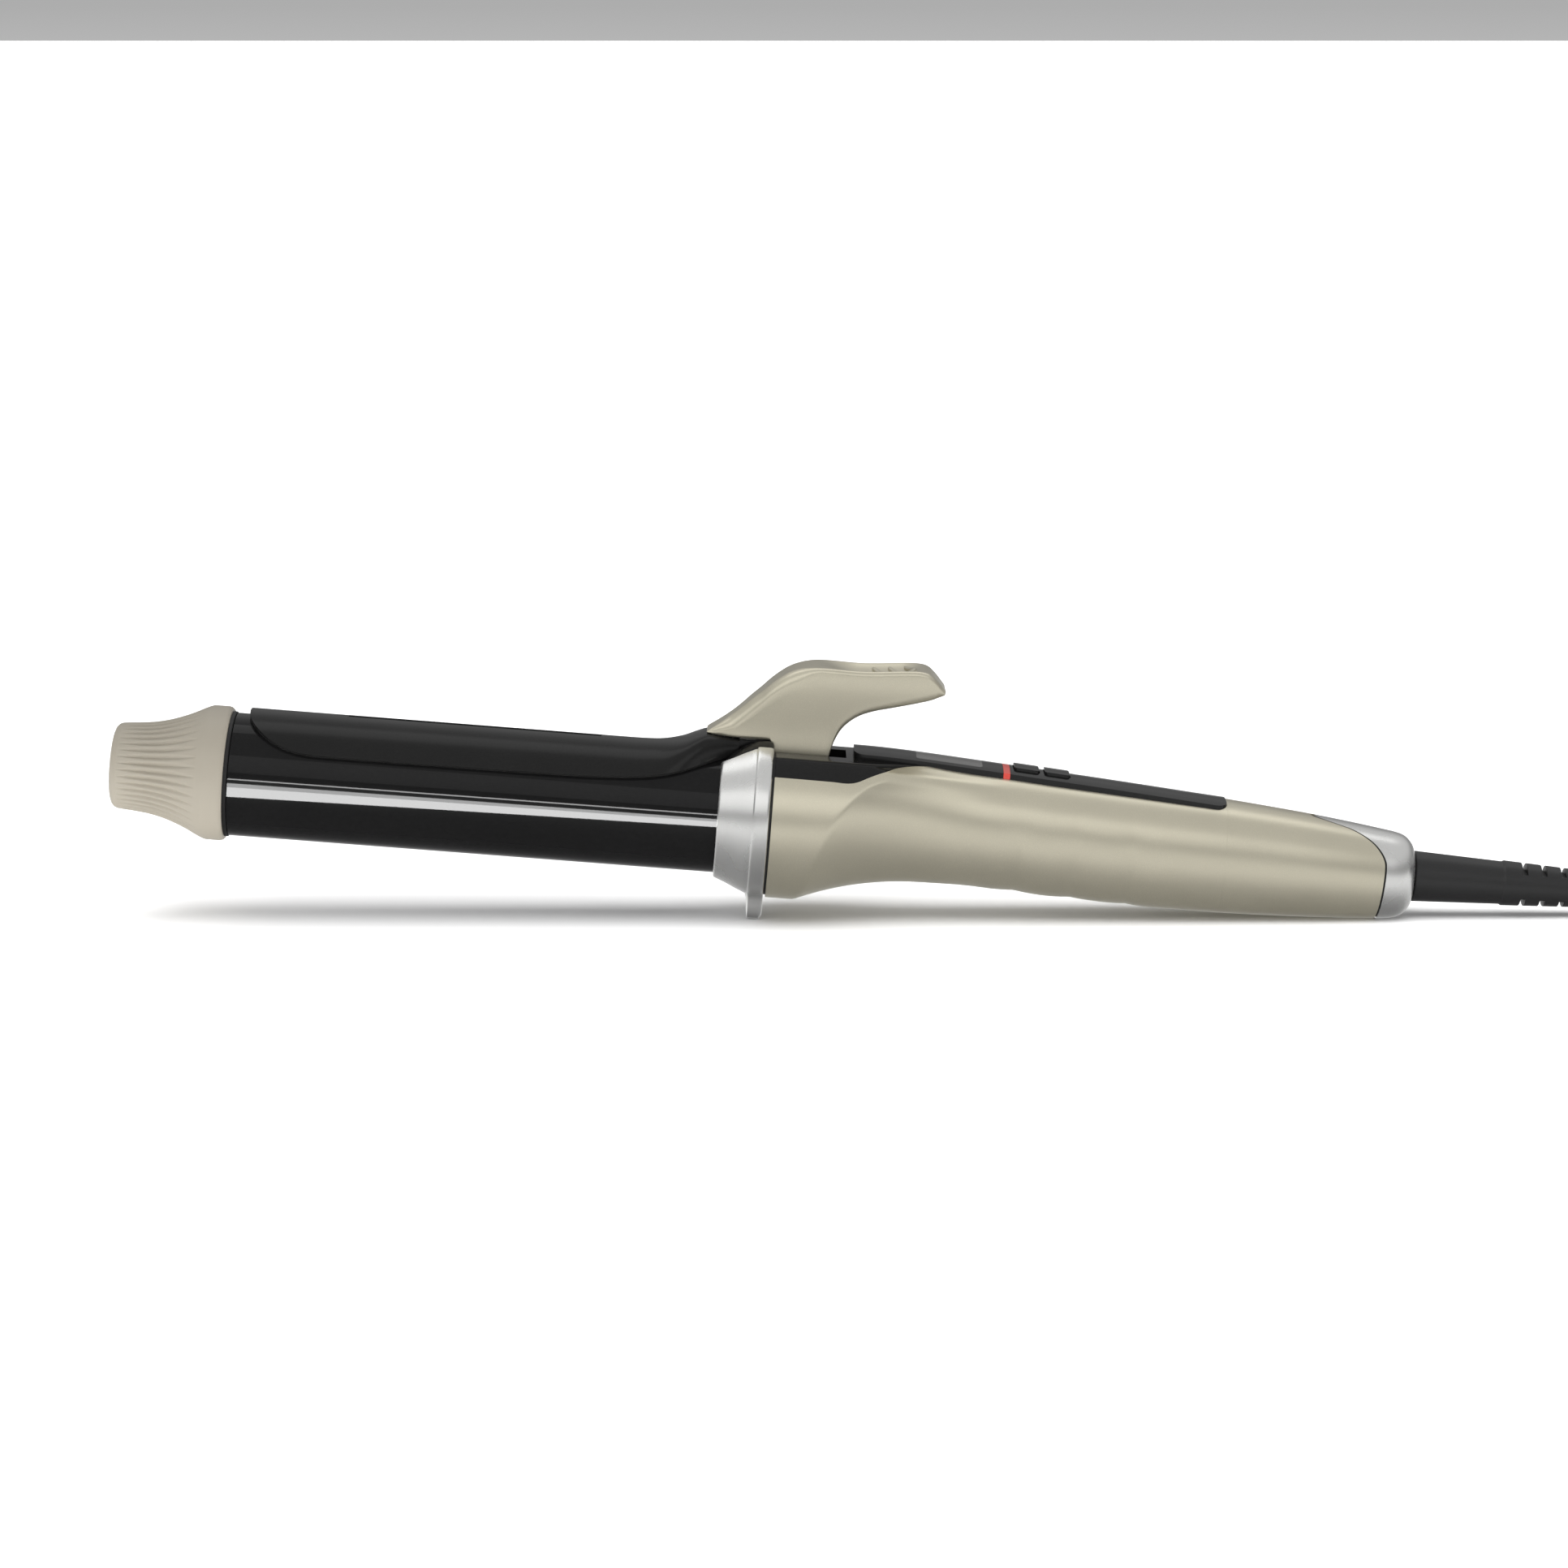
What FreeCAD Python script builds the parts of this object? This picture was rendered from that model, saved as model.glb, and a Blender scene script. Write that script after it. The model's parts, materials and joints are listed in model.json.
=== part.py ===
import FreeCAD, Part

import math
import os

from FreeCAD import Vector

# A curling iron with a spring clamp. The tool is drawn along its barrel: x runs from the tip to the cord, z up, with
# the origin on the barrel's axis at the seam between collar and handle. It is then tipped until foot and tail rest on
# the table, where z is 0. Millimetres.
TILT = math.radians(4.47)
FOOT_X = -1.9
FOOT_Z = -26.9
SHIFT_X = -28.0

BARREL_R = 16.0
BARREL_WALL = 1.2
BARREL_FRONT = -140.0
BARREL_REAR = -1.0
CAP_END = -171.0
CAP_FLANGE_R = 17.5
COLLAR_R = 21.3
COLLAR_FRONT = -13.7
COLLAR_REAR = -0.3
NOTCH_HALF = 9.0
CLAMP_R = 17.6
CLAMP_IN = 16.2
CLAMP_TIP = -136.1
NECK_HALF = 4.2
LEVER_HALF = 5.5
SLOT_HALF = 6.1
SLOT_REAR = 18.4
PIVOT_X = 7.5
PIVOT_Z = 13.5
EYE_R = 4.0
PIN_R = 1.5
PIN_FIT = 0.03
HANDLE_FRONT = 0.2
HANDLE_WALL = 2.2
COVER_TOP = 17.5
COVER_REAR = 45.0
PANEL_FRONT = 20.2
PANEL_REAR = 117.8
PANEL_HALF = 7.5
PANEL_THICK = 2.4
PANEL_CROWN_R = 30.0
WINDOW = (36.5, 53.8)
MARKER = (59.2, 61.0)
BUTTON_X = {"power_button": 65.4, "temperature_button": 73.4}
BUTTON_LONG = 6.6
BUTTON_HALF = 4.2
BUTTON_PROUD = 0.7
BUTTON_TRAVEL = 0.5
SWITCH_HIGH = 1.9
FIT_GAP = 0.2
TAIL_END = 168.0
SWIVEL_Z = -3.0
SWIVEL_BORE = 5.1
RELIEF_END = 228.0
RIB_FIRST = 196.5
RIB_PITCH = 5.1
RIB_COUNT = 6
RIB_SLOT = 1.3

CORD_D = 6.0
HANK_X = 294.0
HANK_Y = 6.0
HANK_REACH = 31.5
HANK_LOOP_R = 28.2
HANK_WAIST = 18.6
HANK_HIGH = 24.2
TIE_T = 0.8
TIE_WIDE = 9.0
TIE_CORNER = 3.0
PLUG_NECK = 14.0
PLUG_LONG = 26.0
PLUG_WIDE = 24.0
PLUG_HIGH = 14.0
BLADE = (17.0, 6.2, 1.5)
BLADE_GAP = 12.7
# Route of the cord's middle line past the strain relief, on the table, and from the hank to the plug.
LEAD_ROUTE = [(211.0, 0.0, 4.95), (223.5, -2.2, 4.0), (235.5, -9.5, 3.3), (247.0, -17.2, 3.05), (260.5, -20.4, 3.0)]
END_ROUTE = [(348.0, -12.7, 19.4), (358.5, -12.0, 12.6), (368.5, -11.0, 8.2), (378.0, -10.3, 7.1), (387.0, -10.0, 7.0)]

# Handle outline: x, top, bottom and half width of the section.
HANDLE = [
    (HANDLE_FRONT, 21.4, -21.5, 21.4),
    (6.0, 21.2, -21.5, 21.4),
    (12.3, 20.4, -19.4, 20.2),
    (20.0, 19.4, -17.3, 18.2),
    (30.0, 18.7, -15.7, 16.4),
    (40.0, 18.2, -14.6, 15.5),
    (52.0, 17.6, -14.2, 15.1),
    (62.0, 17.0, -14.5, 15.1),
    (73.0, 16.2, -15.2, 15.0),
    (84.0, 15.5, -15.5, 14.9),
    (95.0, 14.8, -16.0, 14.7),
    (106.0, 14.1, -16.2, 14.5),
    (117.0, 13.4, -16.3, 14.1),
    (128.0, 12.4, -16.1, 13.5),
    (140.0, 11.2, -15.7, 12.9),
    (150.0, 10.0, -15.3, 12.2),
    (160.0, 8.6, -14.6, 11.2),
    (164.2, 7.8, -14.0, 10.6),
    (166.6, 6.6, -12.4, 9.4),
    (TAIL_END, 4.2, -10.2, 7.4),
]
# Crest of the raised control panel along its length.
PANEL_CREST = [(20.0, 20.0), (30.4, 19.8), (51.7, 18.5), (73.0, 17.0), (94.3, 15.45), (118.5, 13.6)]


def box(x0, x1, y0, y1, z0, z1):
    """A block between two corners."""
    return Part.makeBox(x1 - x0, y1 - y0, z1 - z0, Vector(x0, y0, z0))


def rod(x0, x1, radius, y=0.0, z=0.0):
    """A cylinder along x."""
    return Part.makeCylinder(radius, x1 - x0, Vector(x0, y, z), Vector(1, 0, 0))


def cross_rod(y0, y1, radius, x, z):
    """A cylinder along y."""
    return Part.makeCylinder(radius, y1 - y0, Vector(x, y0, z), Vector(0, 1, 0))


def spun(profile, z=0.0):
    """Turns a closed outline of (x, radius) points about the line through z, along x."""
    points = [Vector(x, 0, r + z) for x, r in profile]
    face = Part.Face(Part.makePolygon(points + points[:1]))
    return face.revolve(Vector(0, 0, z), Vector(1, 0, 0), 360)


def side_prism(points, half, smooth=False):
    """Pushes a side outline of (x, z) points out to both sides."""
    corners = [Vector(x, -half, z) for x, z in points]
    if smooth:
        curve = Part.BSplineCurve()
        curve.interpolate(corners)
        wire = Part.Wire([curve.toShape(), Part.makeLine(corners[-1], corners[0])])
    else:
        wire = Part.makePolygon(corners + corners[:1])
    return Part.Face(wire).extrude(Vector(0, 2 * half, 0))


def front_prism(points, x0, x1):
    """Pushes a front outline of (y, z) points along x."""
    corners = [Vector(x0, y, z) for y, z in points]
    return Part.Face(Part.makePolygon(corners + corners[:1])).extrude(Vector(x1 - x0, 0, 0))


def plan_prism(x0, x1, half, radius, z0, z1):
    """A block with rounded upright edges."""
    block = box(x0, x1, -half, half, z0, z1)
    upright = [e for e in block.Edges if abs(e.tangentAt(e.FirstParameter).z) > 0.99]
    return block.makeFillet(radius, upright)


def handle_section(x, top, bottom, half, inset):
    """One closed section of the handle: an oval a little squarer than an ellipse."""
    high = (top - bottom) / 2 - inset
    wide = half - inset
    middle = (top + bottom) / 2
    squareness = 2.0 + 0.25 * min(1.0, max(0.0, (x - 8.0) / 30.0))
    points = []
    for step in range(24):
        angle = 2 * math.pi * step / 24
        c, s = math.cos(angle), math.sin(angle)
        reach = (abs(c) ** squareness + abs(s) ** squareness) ** (-1 / squareness)
        points.append(Vector(x, wide * reach * c, middle + high * reach * s))
    curve = Part.BSplineCurve()
    curve.interpolate(points, PeriodicFlag=True)
    return Part.Wire([curve.toShape()])


def handle_body(inset=0.0, last=None):
    """The handle's outer form, or its cavity when inset."""
    rows = HANDLE[:last]
    return Part.makeLoft([handle_section(*row, inset) for row in rows], True, False)


def panel_slab(drop):
    """Everything under the control panel's crowned top, lowered by drop."""
    wires = []
    for x, crest in PANEL_CREST:
        edge = 12.0
        fall = PANEL_CROWN_R - math.sqrt(PANEL_CROWN_R**2 - edge**2)
        left = Vector(x, -edge, crest - drop - fall)
        right = Vector(x, edge, crest - drop - fall)
        arc = Part.Arc(left, Vector(x, 0, crest - drop), right).toShape()
        base = Part.makePolygon([right, Vector(x, edge, 0), Vector(x, -edge, 0), left])
        wires.append(Part.Wire([arc] + base.Edges))
    return Part.makeLoft(wires, True, False)


def crest_at(x):
    """Height of the control panel's crest at x."""
    for (x0, z0), (x1, z1) in zip(PANEL_CREST, PANEL_CREST[1:]):
        if x0 <= x <= x1:
            return z0 + (z1 - z0) * (x - x0) / (x1 - x0)
    return PANEL_CREST[-1][1]


def floor_cut():
    """Everything under the table's plane, in the tool's own frame."""
    def table(x):
        return FOOT_Z + math.tan(TILT) * (x - FOOT_X)
    return side_prism([(-20, table(-20)), (200, table(200)), (200, -60), (-20, -60)], 40)


def tip_parts():
    """Cool tip, heat seal and barrel tube."""
    spigot = BARREL_R - BARREL_WALL - 0.1
    cap = spun([
        (CAP_END, 0), (CAP_END, 9.9), (-170.6, 10.7), (-169.9, 11.1), (-165, 11.6), (-159.6, 12.4), (-156.5, 13.3),
        (-153.4, 14.5), (-150, 15.9), (-147.6, 17.0), (-146.2, CAP_FLANGE_R), (-142.0, CAP_FLANGE_R),
        (-141.3, 17.1), (-141.0, 16.4), (-141.0, spigot), (-130, spigot), (-130, spigot - 2), (-150, spigot - 2),
        (-160, 9.8), (-168.5, 8.8), (-168.5, 0),
    ])
    seal = spun([(-141.0, spigot), (-141.0, 16.3), (-140.0, 16.3), (-140.0, spigot)])
    inner = BARREL_R - BARREL_WALL
    barrel = spun([(BARREL_FRONT, inner), (BARREL_FRONT, BARREL_R), (BARREL_REAR, BARREL_R), (BARREL_REAR, inner)])
    return {"tip_cap": cap, "tip_heat_seal": seal, "barrel_tube": barrel}


def heater_parts():
    """Ceramic heater clamped between two half-round spreaders, with its fuse and leaf clip."""
    inner = BARREL_R - BARREL_WALL
    ceramic = box(-112, -40, -7, 7, -1.2, 1.2)
    disc = rod(-120, -30, inner - 0.05)
    upper = disc.common(box(-120, -30, -20, 20, 1.2, 20)).cut(rod(-120, -30, 4.5, z=8.5))
    lower = disc.common(box(-120, -30, -20, 20, -20, -1.2)).cut(rod(-120, -30, 4.5, z=-8.5))
    insulation = box(-118, -32, -9.5, -7.6, -1.0, 1.0).fuse(box(-118, -32, 7.6, 9.5, -1.0, 1.0))
    fuse = rod(-90, -72, 2.6, z=8.5)
    sensor = rod(-66, -60, 1.6, z=-8.5)
    return {
        "heater_ceramic": ceramic, "heat_spreader_upper": upper, "heat_spreader_lower": lower,
        "heater_insulation": insulation, "thermal_fuse": fuse, "temperature_sensor": sensor,
    }


def hub_parts():
    """Heat resisting hub that carries the barrel in the handle, with its screws."""
    spigot = rod(-12, 0.6, BARREL_R - BARREL_WALL - 0.05)
    flange = rod(0.6, 3.0, 18.9)
    hub = spigot.fuse(flange).cut(rod(-13, 4, 8.0)).cut(box(0.55, 4, -9.4, 9.4, 9.0, 30))
    hub = hub.cut(box(0.55, 4, -20, 20, 12.4, 30))
    screws = None
    for angle in (200, 270, 340):
        y, z = 13.4 * math.cos(math.radians(angle)), 13.4 * math.sin(math.radians(angle))
        hub = hub.cut(rod(-5, 4, 1.0, y, z))
        screw = rod(-4, 3.0, 1.0, y, z).fuse(rod(3.0, 4.4, 2.0, y, z))
        screw = screw.cut(box(3.9, 5, y - 0.3, y + 0.3, z - 1.4, z + 1.4))
        screws = screw if screws is None else Part.makeCompound([*screws.Solids, screw])
    return {"barrel_hub": hub, "hub_screws": screws}


def collar_parts():
    """Polished collar with its stand foot, the black cheeks of the lever slot in its notch, and the gasket."""
    shell = spun([
        (COLLAR_FRONT, 16.2), (COLLAR_FRONT, 16.9), (-13.3, 17.3), (-9.0, 18.9), (-4.6, 20.9), (-4.2, 21.3),
        (-0.8, COLLAR_R),
        (COLLAR_REAR, 20.9), (COLLAR_REAR, 19.2), (-4.0, 19.0), (-12.6, 16.2),
    ])
    tongue = front_prism([
        (-9, -16.5), (-8.2, -21), (-7.2, -24.4), (-6, -27.2), (6, -27.2), (7.2, -24.4), (8.2, -21), (9, -16.5),
    ], -3.9, -0.5)
    foot = tongue.cut(rod(-14, 1, 19.6)).cut(floor_cut())
    notch = box(-14, 1, -NOTCH_HALF, NOTCH_HALF, 10, 30)
    collar = shell.fuse(foot).cut(notch)
    bridge = spun([
        (-12.4, 16.2), (-12.4, 17.3), (-4.6, 20.7), (-1.2, 20.7), (COLLAR_REAR, 20.0), (COLLAR_REAR, 16.2),
    ]).common(box(-14, 1, -NOTCH_HALF + 0.1, NOTCH_HALF - 0.1, 10, 30))
    mouth = Part.makePolygon([Vector(-14, -9.8, 10), Vector(-8.4, -SLOT_HALF, 10), Vector(1, -SLOT_HALF, 10),
                              Vector(1, SLOT_HALF, 10), Vector(-8.4, SLOT_HALF, 10), Vector(-14, 9.8, 10),
                              Vector(-14, -9.8, 10)])
    cheeks = bridge.cut(Part.Face(mouth).extrude(Vector(0, 0, 20)))
    gasket = spun([(COLLAR_REAR, 18.95), (COLLAR_REAR, 20.7), (HANDLE_FRONT, 20.7), (HANDLE_FRONT, 18.95)])
    gasket = gasket.cut(box(-1, 1, -SLOT_HALF, SLOT_HALF, 10, 30)).cut(box(-1, 1, -12.2, 12.2, 17.4, 30))
    return {"stand_collar": collar, "slot_cheeks": cheeks, "collar_gasket": gasket}


def cover_zone():
    """Side view of the black cover's share of the handle's top."""
    return side_prism([
        (-1, 13.0), (19.0, 12.8), (22.0, 13.4), (26.0, 15.2), (31.0, 16.6), (38.0, 17.3), (COVER_REAR, 17.9),
        (COVER_REAR, 40), (-1, 40),
    ], 30)


def tail_zone(gap=0.0):
    """Side view of the tail collar's share, with its pointed tongue on top."""
    edge = [
        (139.5, 12.6), (145.7, 10.2), (150.9, 9.0), (155.3, 7.1), (158.0, 4.9), (159.7, 2.2), (159.9, -4.5),
        (159.3, -15.6),
    ]
    edge = [(x - gap, z) for x, z in edge]
    return side_prism(edge + [(159.0 - gap, -30), (200, -30), (200, 30), (139.0 - gap, 30)], 30)


def shell_parts():
    """Handle halves, top cover and tail collar, cut from one hollow form."""
    outer = handle_body().cut(floor_cut())
    cavity = handle_body(HANDLE_WALL, last=-2).cut(box(163.9, 170, -30, 30, -30, 30))
    cavity = cavity.fuse(rod(-1, HANDLE_FRONT + 3, 19.0))
    flat = box(-2, PANEL_FRONT, -30, 30, COVER_TOP, 40)
    under_flat = box(-2, 46, -30, 30, COVER_TOP - HANDLE_WALL, 40)
    hollow = cavity.cut(under_flat)
    panel_hole = plan_prism(PANEL_FRONT, PANEL_REAR, PANEL_HALF, 3.0, 5, 40)
    shell = outer.cut(hollow).cut(flat)
    tail = shell.common(tail_zone()).cut(rod(150, 170, SWIVEL_BORE, z=SWIVEL_Z))
    line = shell.common(tail_zone(0.5)).cut(tail_zone()).common(handle_body(0.25))
    rest = shell.cut(tail_zone(0.5)).cut(panel_hole)
    cover = rest.common(cover_zone())
    slot = box(-1, SLOT_REAR, -SLOT_HALF, SLOT_HALF, 8, 40)
    cover = cover.cut(slot)
    grip = rest.cut(cover_zone())
    left = grip.common(box(-5, 200, 0, 40, -40, 40))
    right = grip.common(box(-5, 200, -40, 0, -40, 40))
    return {"handle_left": left, "handle_right": right, "top_cover": cover, "tail_collar": tail, "tail_gap_ring": line}


def panel_parts():
    """Raised control panel with window, status marker and the two buttons."""
    gap = 0.05
    outline = plan_prism(PANEL_FRONT + gap, PANEL_REAR - gap, PANEL_HALF - gap, 2.9, 5, 40)
    plate = outline.common(panel_slab(0)).cut(panel_slab(PANEL_THICK))
    window_hole = plan_prism(WINDOW[0], WINDOW[1], 5.6, 1.0, 5, 40).cut(panel_slab(1.0))
    window = plate.common(window_hole)
    marker_hole = box(MARKER[0], MARKER[1], -10, 10, 5, 40).cut(panel_slab(1.5))
    marker = plate.common(marker_hole)
    plate = plate.cut(window_hole).cut(marker_hole)
    parts = {"display_window": window, "status_marker": marker}
    for name, x in BUTTON_X.items():
        half = BUTTON_LONG / 2
        plate = plate.cut(plan_prism(x - half - FIT_GAP, x + half + FIT_GAP, BUTTON_HALF + FIT_GAP, 1.2, 5, 40))
        key = plan_prism(x - half, x + half, BUTTON_HALF, 1.0, 5, 40)
        key = key.common(panel_slab(-BUTTON_PROUD)).cut(panel_slab(PANEL_THICK - 0.4))
        stem = box(x - 1.4, x + 1.4, -1.4, 1.4, board_top(x) + SWITCH_HIGH + BUTTON_TRAVEL + FIT_GAP, crest_at(x) - 1.2)
        parts[name] = key.fuse(stem)
    parts["control_panel"] = plate
    return parts


def board_top(x):
    """Height of the circuit board's upper face, which slopes with the panel."""
    return 9.6 - 0.0731 * (x - 34.0)


def board_parts():
    """Circuit board and what is soldered to it."""
    front, rear = 34.0, 112.0
    board = side_prism([
        (front, board_top(front)), (rear, board_top(rear)), (rear, board_top(rear) - 1.4),
        (front, board_top(front) - 1.4),
    ], 6.6)

    def part(x0, x1, half, low, high):
        """A component between two heights over the board's upper face."""
        top = side_prism([
            (x0, board_top(x0) + low), (x1, board_top(x1) + low), (x1, board_top(x1) + high),
            (x0, board_top(x0) + high),
        ], half)
        return top
    switches = [part(x - 2.3, x + 2.3, 2.3, 0, SWITCH_HIGH) for x in BUTTON_X.values()]
    return {
        "circuit_board": board,
        "display_module": part(WINDOW[0] + 1, WINDOW[1] - 1, 5.0, 0, 4.4),
        "key_switches": Part.makeCompound(switches),
        "controller_chip": part(84, 91, 3.5, 0, 1.2),
        "heater_triac": part(96, 106, 4.0, -9.4, -1.4),
        "mains_capacitor": part(60, 74, 4.4, -9.4, -1.4),
        "status_led": part(59.3, 60.9, 0.8, 0, 1.2),
    }


def fastener_parts():
    """Handle screws in their bosses, and the leads to heater and cord."""
    screws = []
    for x, z in ((28.0, -8.5), (86.0, -9.6), (134.0, -8.0)):
        body = cross_rod(-7.0, 5.0, 1.1, x, z).fuse(cross_rod(5.0, 6.4, 2.2, x, z))
        slot = box(x - 1.6, x + 1.6, 6.0, 7.0, z - 0.3, z + 0.3)
        screws.append(body.cut(slot))
    leads = [rod(-28, 33, 0.9, y, -1.0) for y in (-3.5, 0.0, 3.5)]
    supply = [rod(113.5, 151, 0.9, y, -2.6) for y in (-2.4, 2.4)]
    return {"handle_screws": Part.makeCompound(screws), "heater_leads": Part.makeCompound(leads),
            "supply_leads": Part.makeCompound(supply)}


def hinge_parts():
    """Hinge pin, the bracket that holds it, and the torsion spring round it."""
    bracket = box(3.4, 12.6, -9.2, 9.2, 5.6, 7.6)
    for low, high in ((-9.2, -SLOT_HALF - 0.1), (SLOT_HALF + 0.1, 9.2)):
        ear = box(3.4, 12.6, low, high, 7.6, 15.2)
        bracket = bracket.fuse(ear)
    bracket = bracket.cut(cross_rod(-12, 12, PIN_R, PIVOT_X, PIVOT_Z))
    pin = cross_rod(-10.2, 10.2, PIN_R, PIVOT_X, PIVOT_Z)
    turns = []
    for step in range(3):
        ring = Part.makeTorus(2.9, 0.38, Vector(PIVOT_X, 4.2 + 0.7 * step, PIVOT_Z), Vector(0, 1, 0))
        turns.append(ring)
    leg = Part.makeCylinder(0.38, 2.0, Vector(PIVOT_X - 2.9, 5.6, PIVOT_Z), Vector(0, 0, -1))
    spring = turns[0].multiFuse(turns[1:] + [leg])
    return {"hinge_bracket": bracket, "hinge_pin": pin, "clamp_spring": spring}


def clamp_root():
    """Solid rise behind the clamp plate, from the plate's arc up to the lever."""
    rows = [
        (-34.0, 14.0, 10.6, 17.6), (-29.0, 13.4, 11.2, 17.9), (-24.0, 12.2, 12.2, 18.9), (-19.0, 10.2, 13.6, 20.9),
        (-14.5, 8.0, 15.6, 21.0), (-10.0, 5.9, 16.4, 20.6),
    ]
    wires = []
    for x, half, side, top in rows:
        left, right = Vector(x, -half, side), Vector(x, half, side)
        arc = Part.Arc(left, Vector(x, 0, top), right).toShape()
        base = Part.makePolygon([right, Vector(x, half, side - 4), Vector(x, -half, side - 4), left])
        wires.append(Part.Wire([arc] + base.Edges))
    return Part.makeLoft(wires, True, False)


def clamp_parts():
    """Clamp plate with its neck and hinge eye, the thumb lever on it, and the lever's screws."""
    ring = spun([(CLAMP_TIP, CLAMP_IN), (CLAMP_TIP, CLAMP_R), (-9.0, CLAMP_R), (-9.0, CLAMP_IN)])
    outline = side_prism([
        (CLAMP_TIP, 17.0), (-135.6, 15.8), (-133.2, 14.0), (-131.0, 12.4), (-128.6, 11.1), (-125.5, 10.0),
        (-122.1, 9.3), (-116, 9.0), (-53.3, 9.3), (-34, 10.2), (-25.9, 11.0), (-19.7, 12.9), (-14.2, 15.7),
        (-10.6, 17.4), (-10.0, 30), (CLAMP_TIP, 30),
    ], 20)
    plate = ring.common(outline).fuse(clamp_root().cut(rod(-40, 0, CLAMP_IN)))
    plate = plate.cut(box(-112, -45.5, -2.2, 2.2, 17.3, 20))
    neck = side_prism([
        (-11, 16.4), (-0.9, 16.4), (2.2, 14.0), (3.6, 13.5), (PIVOT_X, 13.5), (11.4, 13.5), (12.6, 16.6),
        (12.6, 22.5), (-3.0, 22.5), (-8.0, 20.4), (-11.0, 20.4),
    ], NECK_HALF)
    eye = cross_rod(-NECK_HALF, NECK_HALF, EYE_R, PIVOT_X, PIVOT_Z)
    arm = neck.fuse(eye)
    plate = plate.fuse(arm).removeSplitter()
    plate = plate.cut(cross_rod(-12, 12, PIN_R + PIN_FIT, PIVOT_X, PIVOT_Z))
    plate = plate.cut(cross_rod(3.0, 12, 3.9, PIVOT_X, PIVOT_Z))
    side = [
        (-18.1, 21.3), (-13.8, 24.6), (-9.4, 28.6), (-5.0, 32.9), (-1.4, 36.3), (1.3, 38.3), (5.0, 40.0), (10.1, 40.8),
        (20.3, 40.6), (28.0, 41.0), (35.4, 41.7), (38.2, 41.4), (40.7, 39.3), (42.9, 36.5), (39.9, 34.6), (29.5, 31.5),
        (23.3, 29.7),
        (19.3, 27.5), (16.3, 24.2), (14.5, 20.2), (13.5, 15.9), (1.4, 15.9), (-0.9, 17.6), (-1.0, 20.5), (-11.5, 20.6),
    ]
    front = [
        (-LEVER_HALF, 15), (-LEVER_HALF, 22), (-6.6, 28), (-8.0, 33), (-8.6, 37), (-8.3, 39.6), (-7.0, 42.5),
        (7.0, 42.5), (8.3, 39.6), (8.6, 37), (8.0, 33), (6.6, 28), (LEVER_HALF, 22), (LEVER_HALF, 15),
    ]
    lever = side_prism(side, 12).common(front_prism(front, -20, 45))
    dish = side_prism([(9.0, 42.0), (10.5, 40.0), (16, 38.6), (26, 38.4), (33, 39.4), (37.5, 41.0), (37.5, 45)], 5.6)
    lever = lever.cut(dish).cut(plate)
    spring_room = cross_rod(3.0, 12, 3.9, PIVOT_X, PIVOT_Z)
    lever = lever.cut(spring_room)
    screws = []
    for x in (1.5, 9.0):
        hole = Part.makeCylinder(0.9, 10.0, Vector(x, 0, 19.0))
        screws.append(hole)
    rivets = Part.makeCompound(screws)
    for screw in screws:
        plate = plate.cut(screw)
        lever = lever.cut(screw)
    return {"clamp_plate": plate, "thumb_lever": lever, "lever_screws": rivets}


def swivel_parts():
    """Turning swivel cone with its ribbed strain relief, the contact plug and the bearing it turns in."""
    relief = spun([
        (163.9, 0), (163.9, SWIVEL_BORE - 0.1), (168.3, SWIVEL_BORE - 0.1), (168.3, 6.4), (168.7, 6.6), (191.4, 5.6),
        (192.0, 5.9), (206.0, 5.2), (220.0, 4.5), (RELIEF_END - 0.5, 4.1), (RELIEF_END, 3.7), (RELIEF_END, 0),
    ], SWIVEL_Z)
    for step in range(RIB_COUNT):
        x = RIB_FIRST + RIB_PITCH * step
        for low, high in ((SWIVEL_Z + 3.2, SWIVEL_Z + 9), (SWIVEL_Z - 9, SWIVEL_Z - 3.2)):
            relief = relief.cut(box(x, x + RIB_SLOT, -9, 9, low, high))
    flange = spun([(161.0, 0), (161.0, 7.0), (163.9, 7.0), (163.9, 0)], SWIVEL_Z)
    contact = rod(152.0, 161.0, 3.0, z=SWIVEL_Z)
    bearing = spun([(153.0, 3.1), (153.0, 7.6), (159.5, 7.6), (159.5, 3.1)], SWIVEL_Z)
    return {"swivel_strain_relief": relief, "swivel_flange": flange, "swivel_contact": contact,
            "contact_holder": bearing}


def tool_parts():
    """Every piece of the iron, in the tool's own frame."""
    parts = {}
    for make in (
        tip_parts, heater_parts, hub_parts, collar_parts, shell_parts, panel_parts, board_parts, fastener_parts,
        hinge_parts, clamp_parts, swivel_parts,
    ):
        parts.update(make())
    return parts


def place(x, y, z):
    """A point of the tool's frame, tipped and set down on the table."""
    lift = -(FOOT_Z * math.cos(TILT) - FOOT_X * math.sin(TILT))
    return Vector(x * math.cos(TILT) + z * math.sin(TILT) + SHIFT_X, y, z * math.cos(TILT) - x * math.sin(TILT) + lift)


def set_down(shape):
    """Tips a finished piece and sets it down on the table."""
    turned = shape.copy()
    turned.Placement = FreeCAD.Placement(place(0, 0, 0), FreeCAD.Rotation(Vector(0, 1, 0), math.degrees(TILT)))
    return turned


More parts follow.
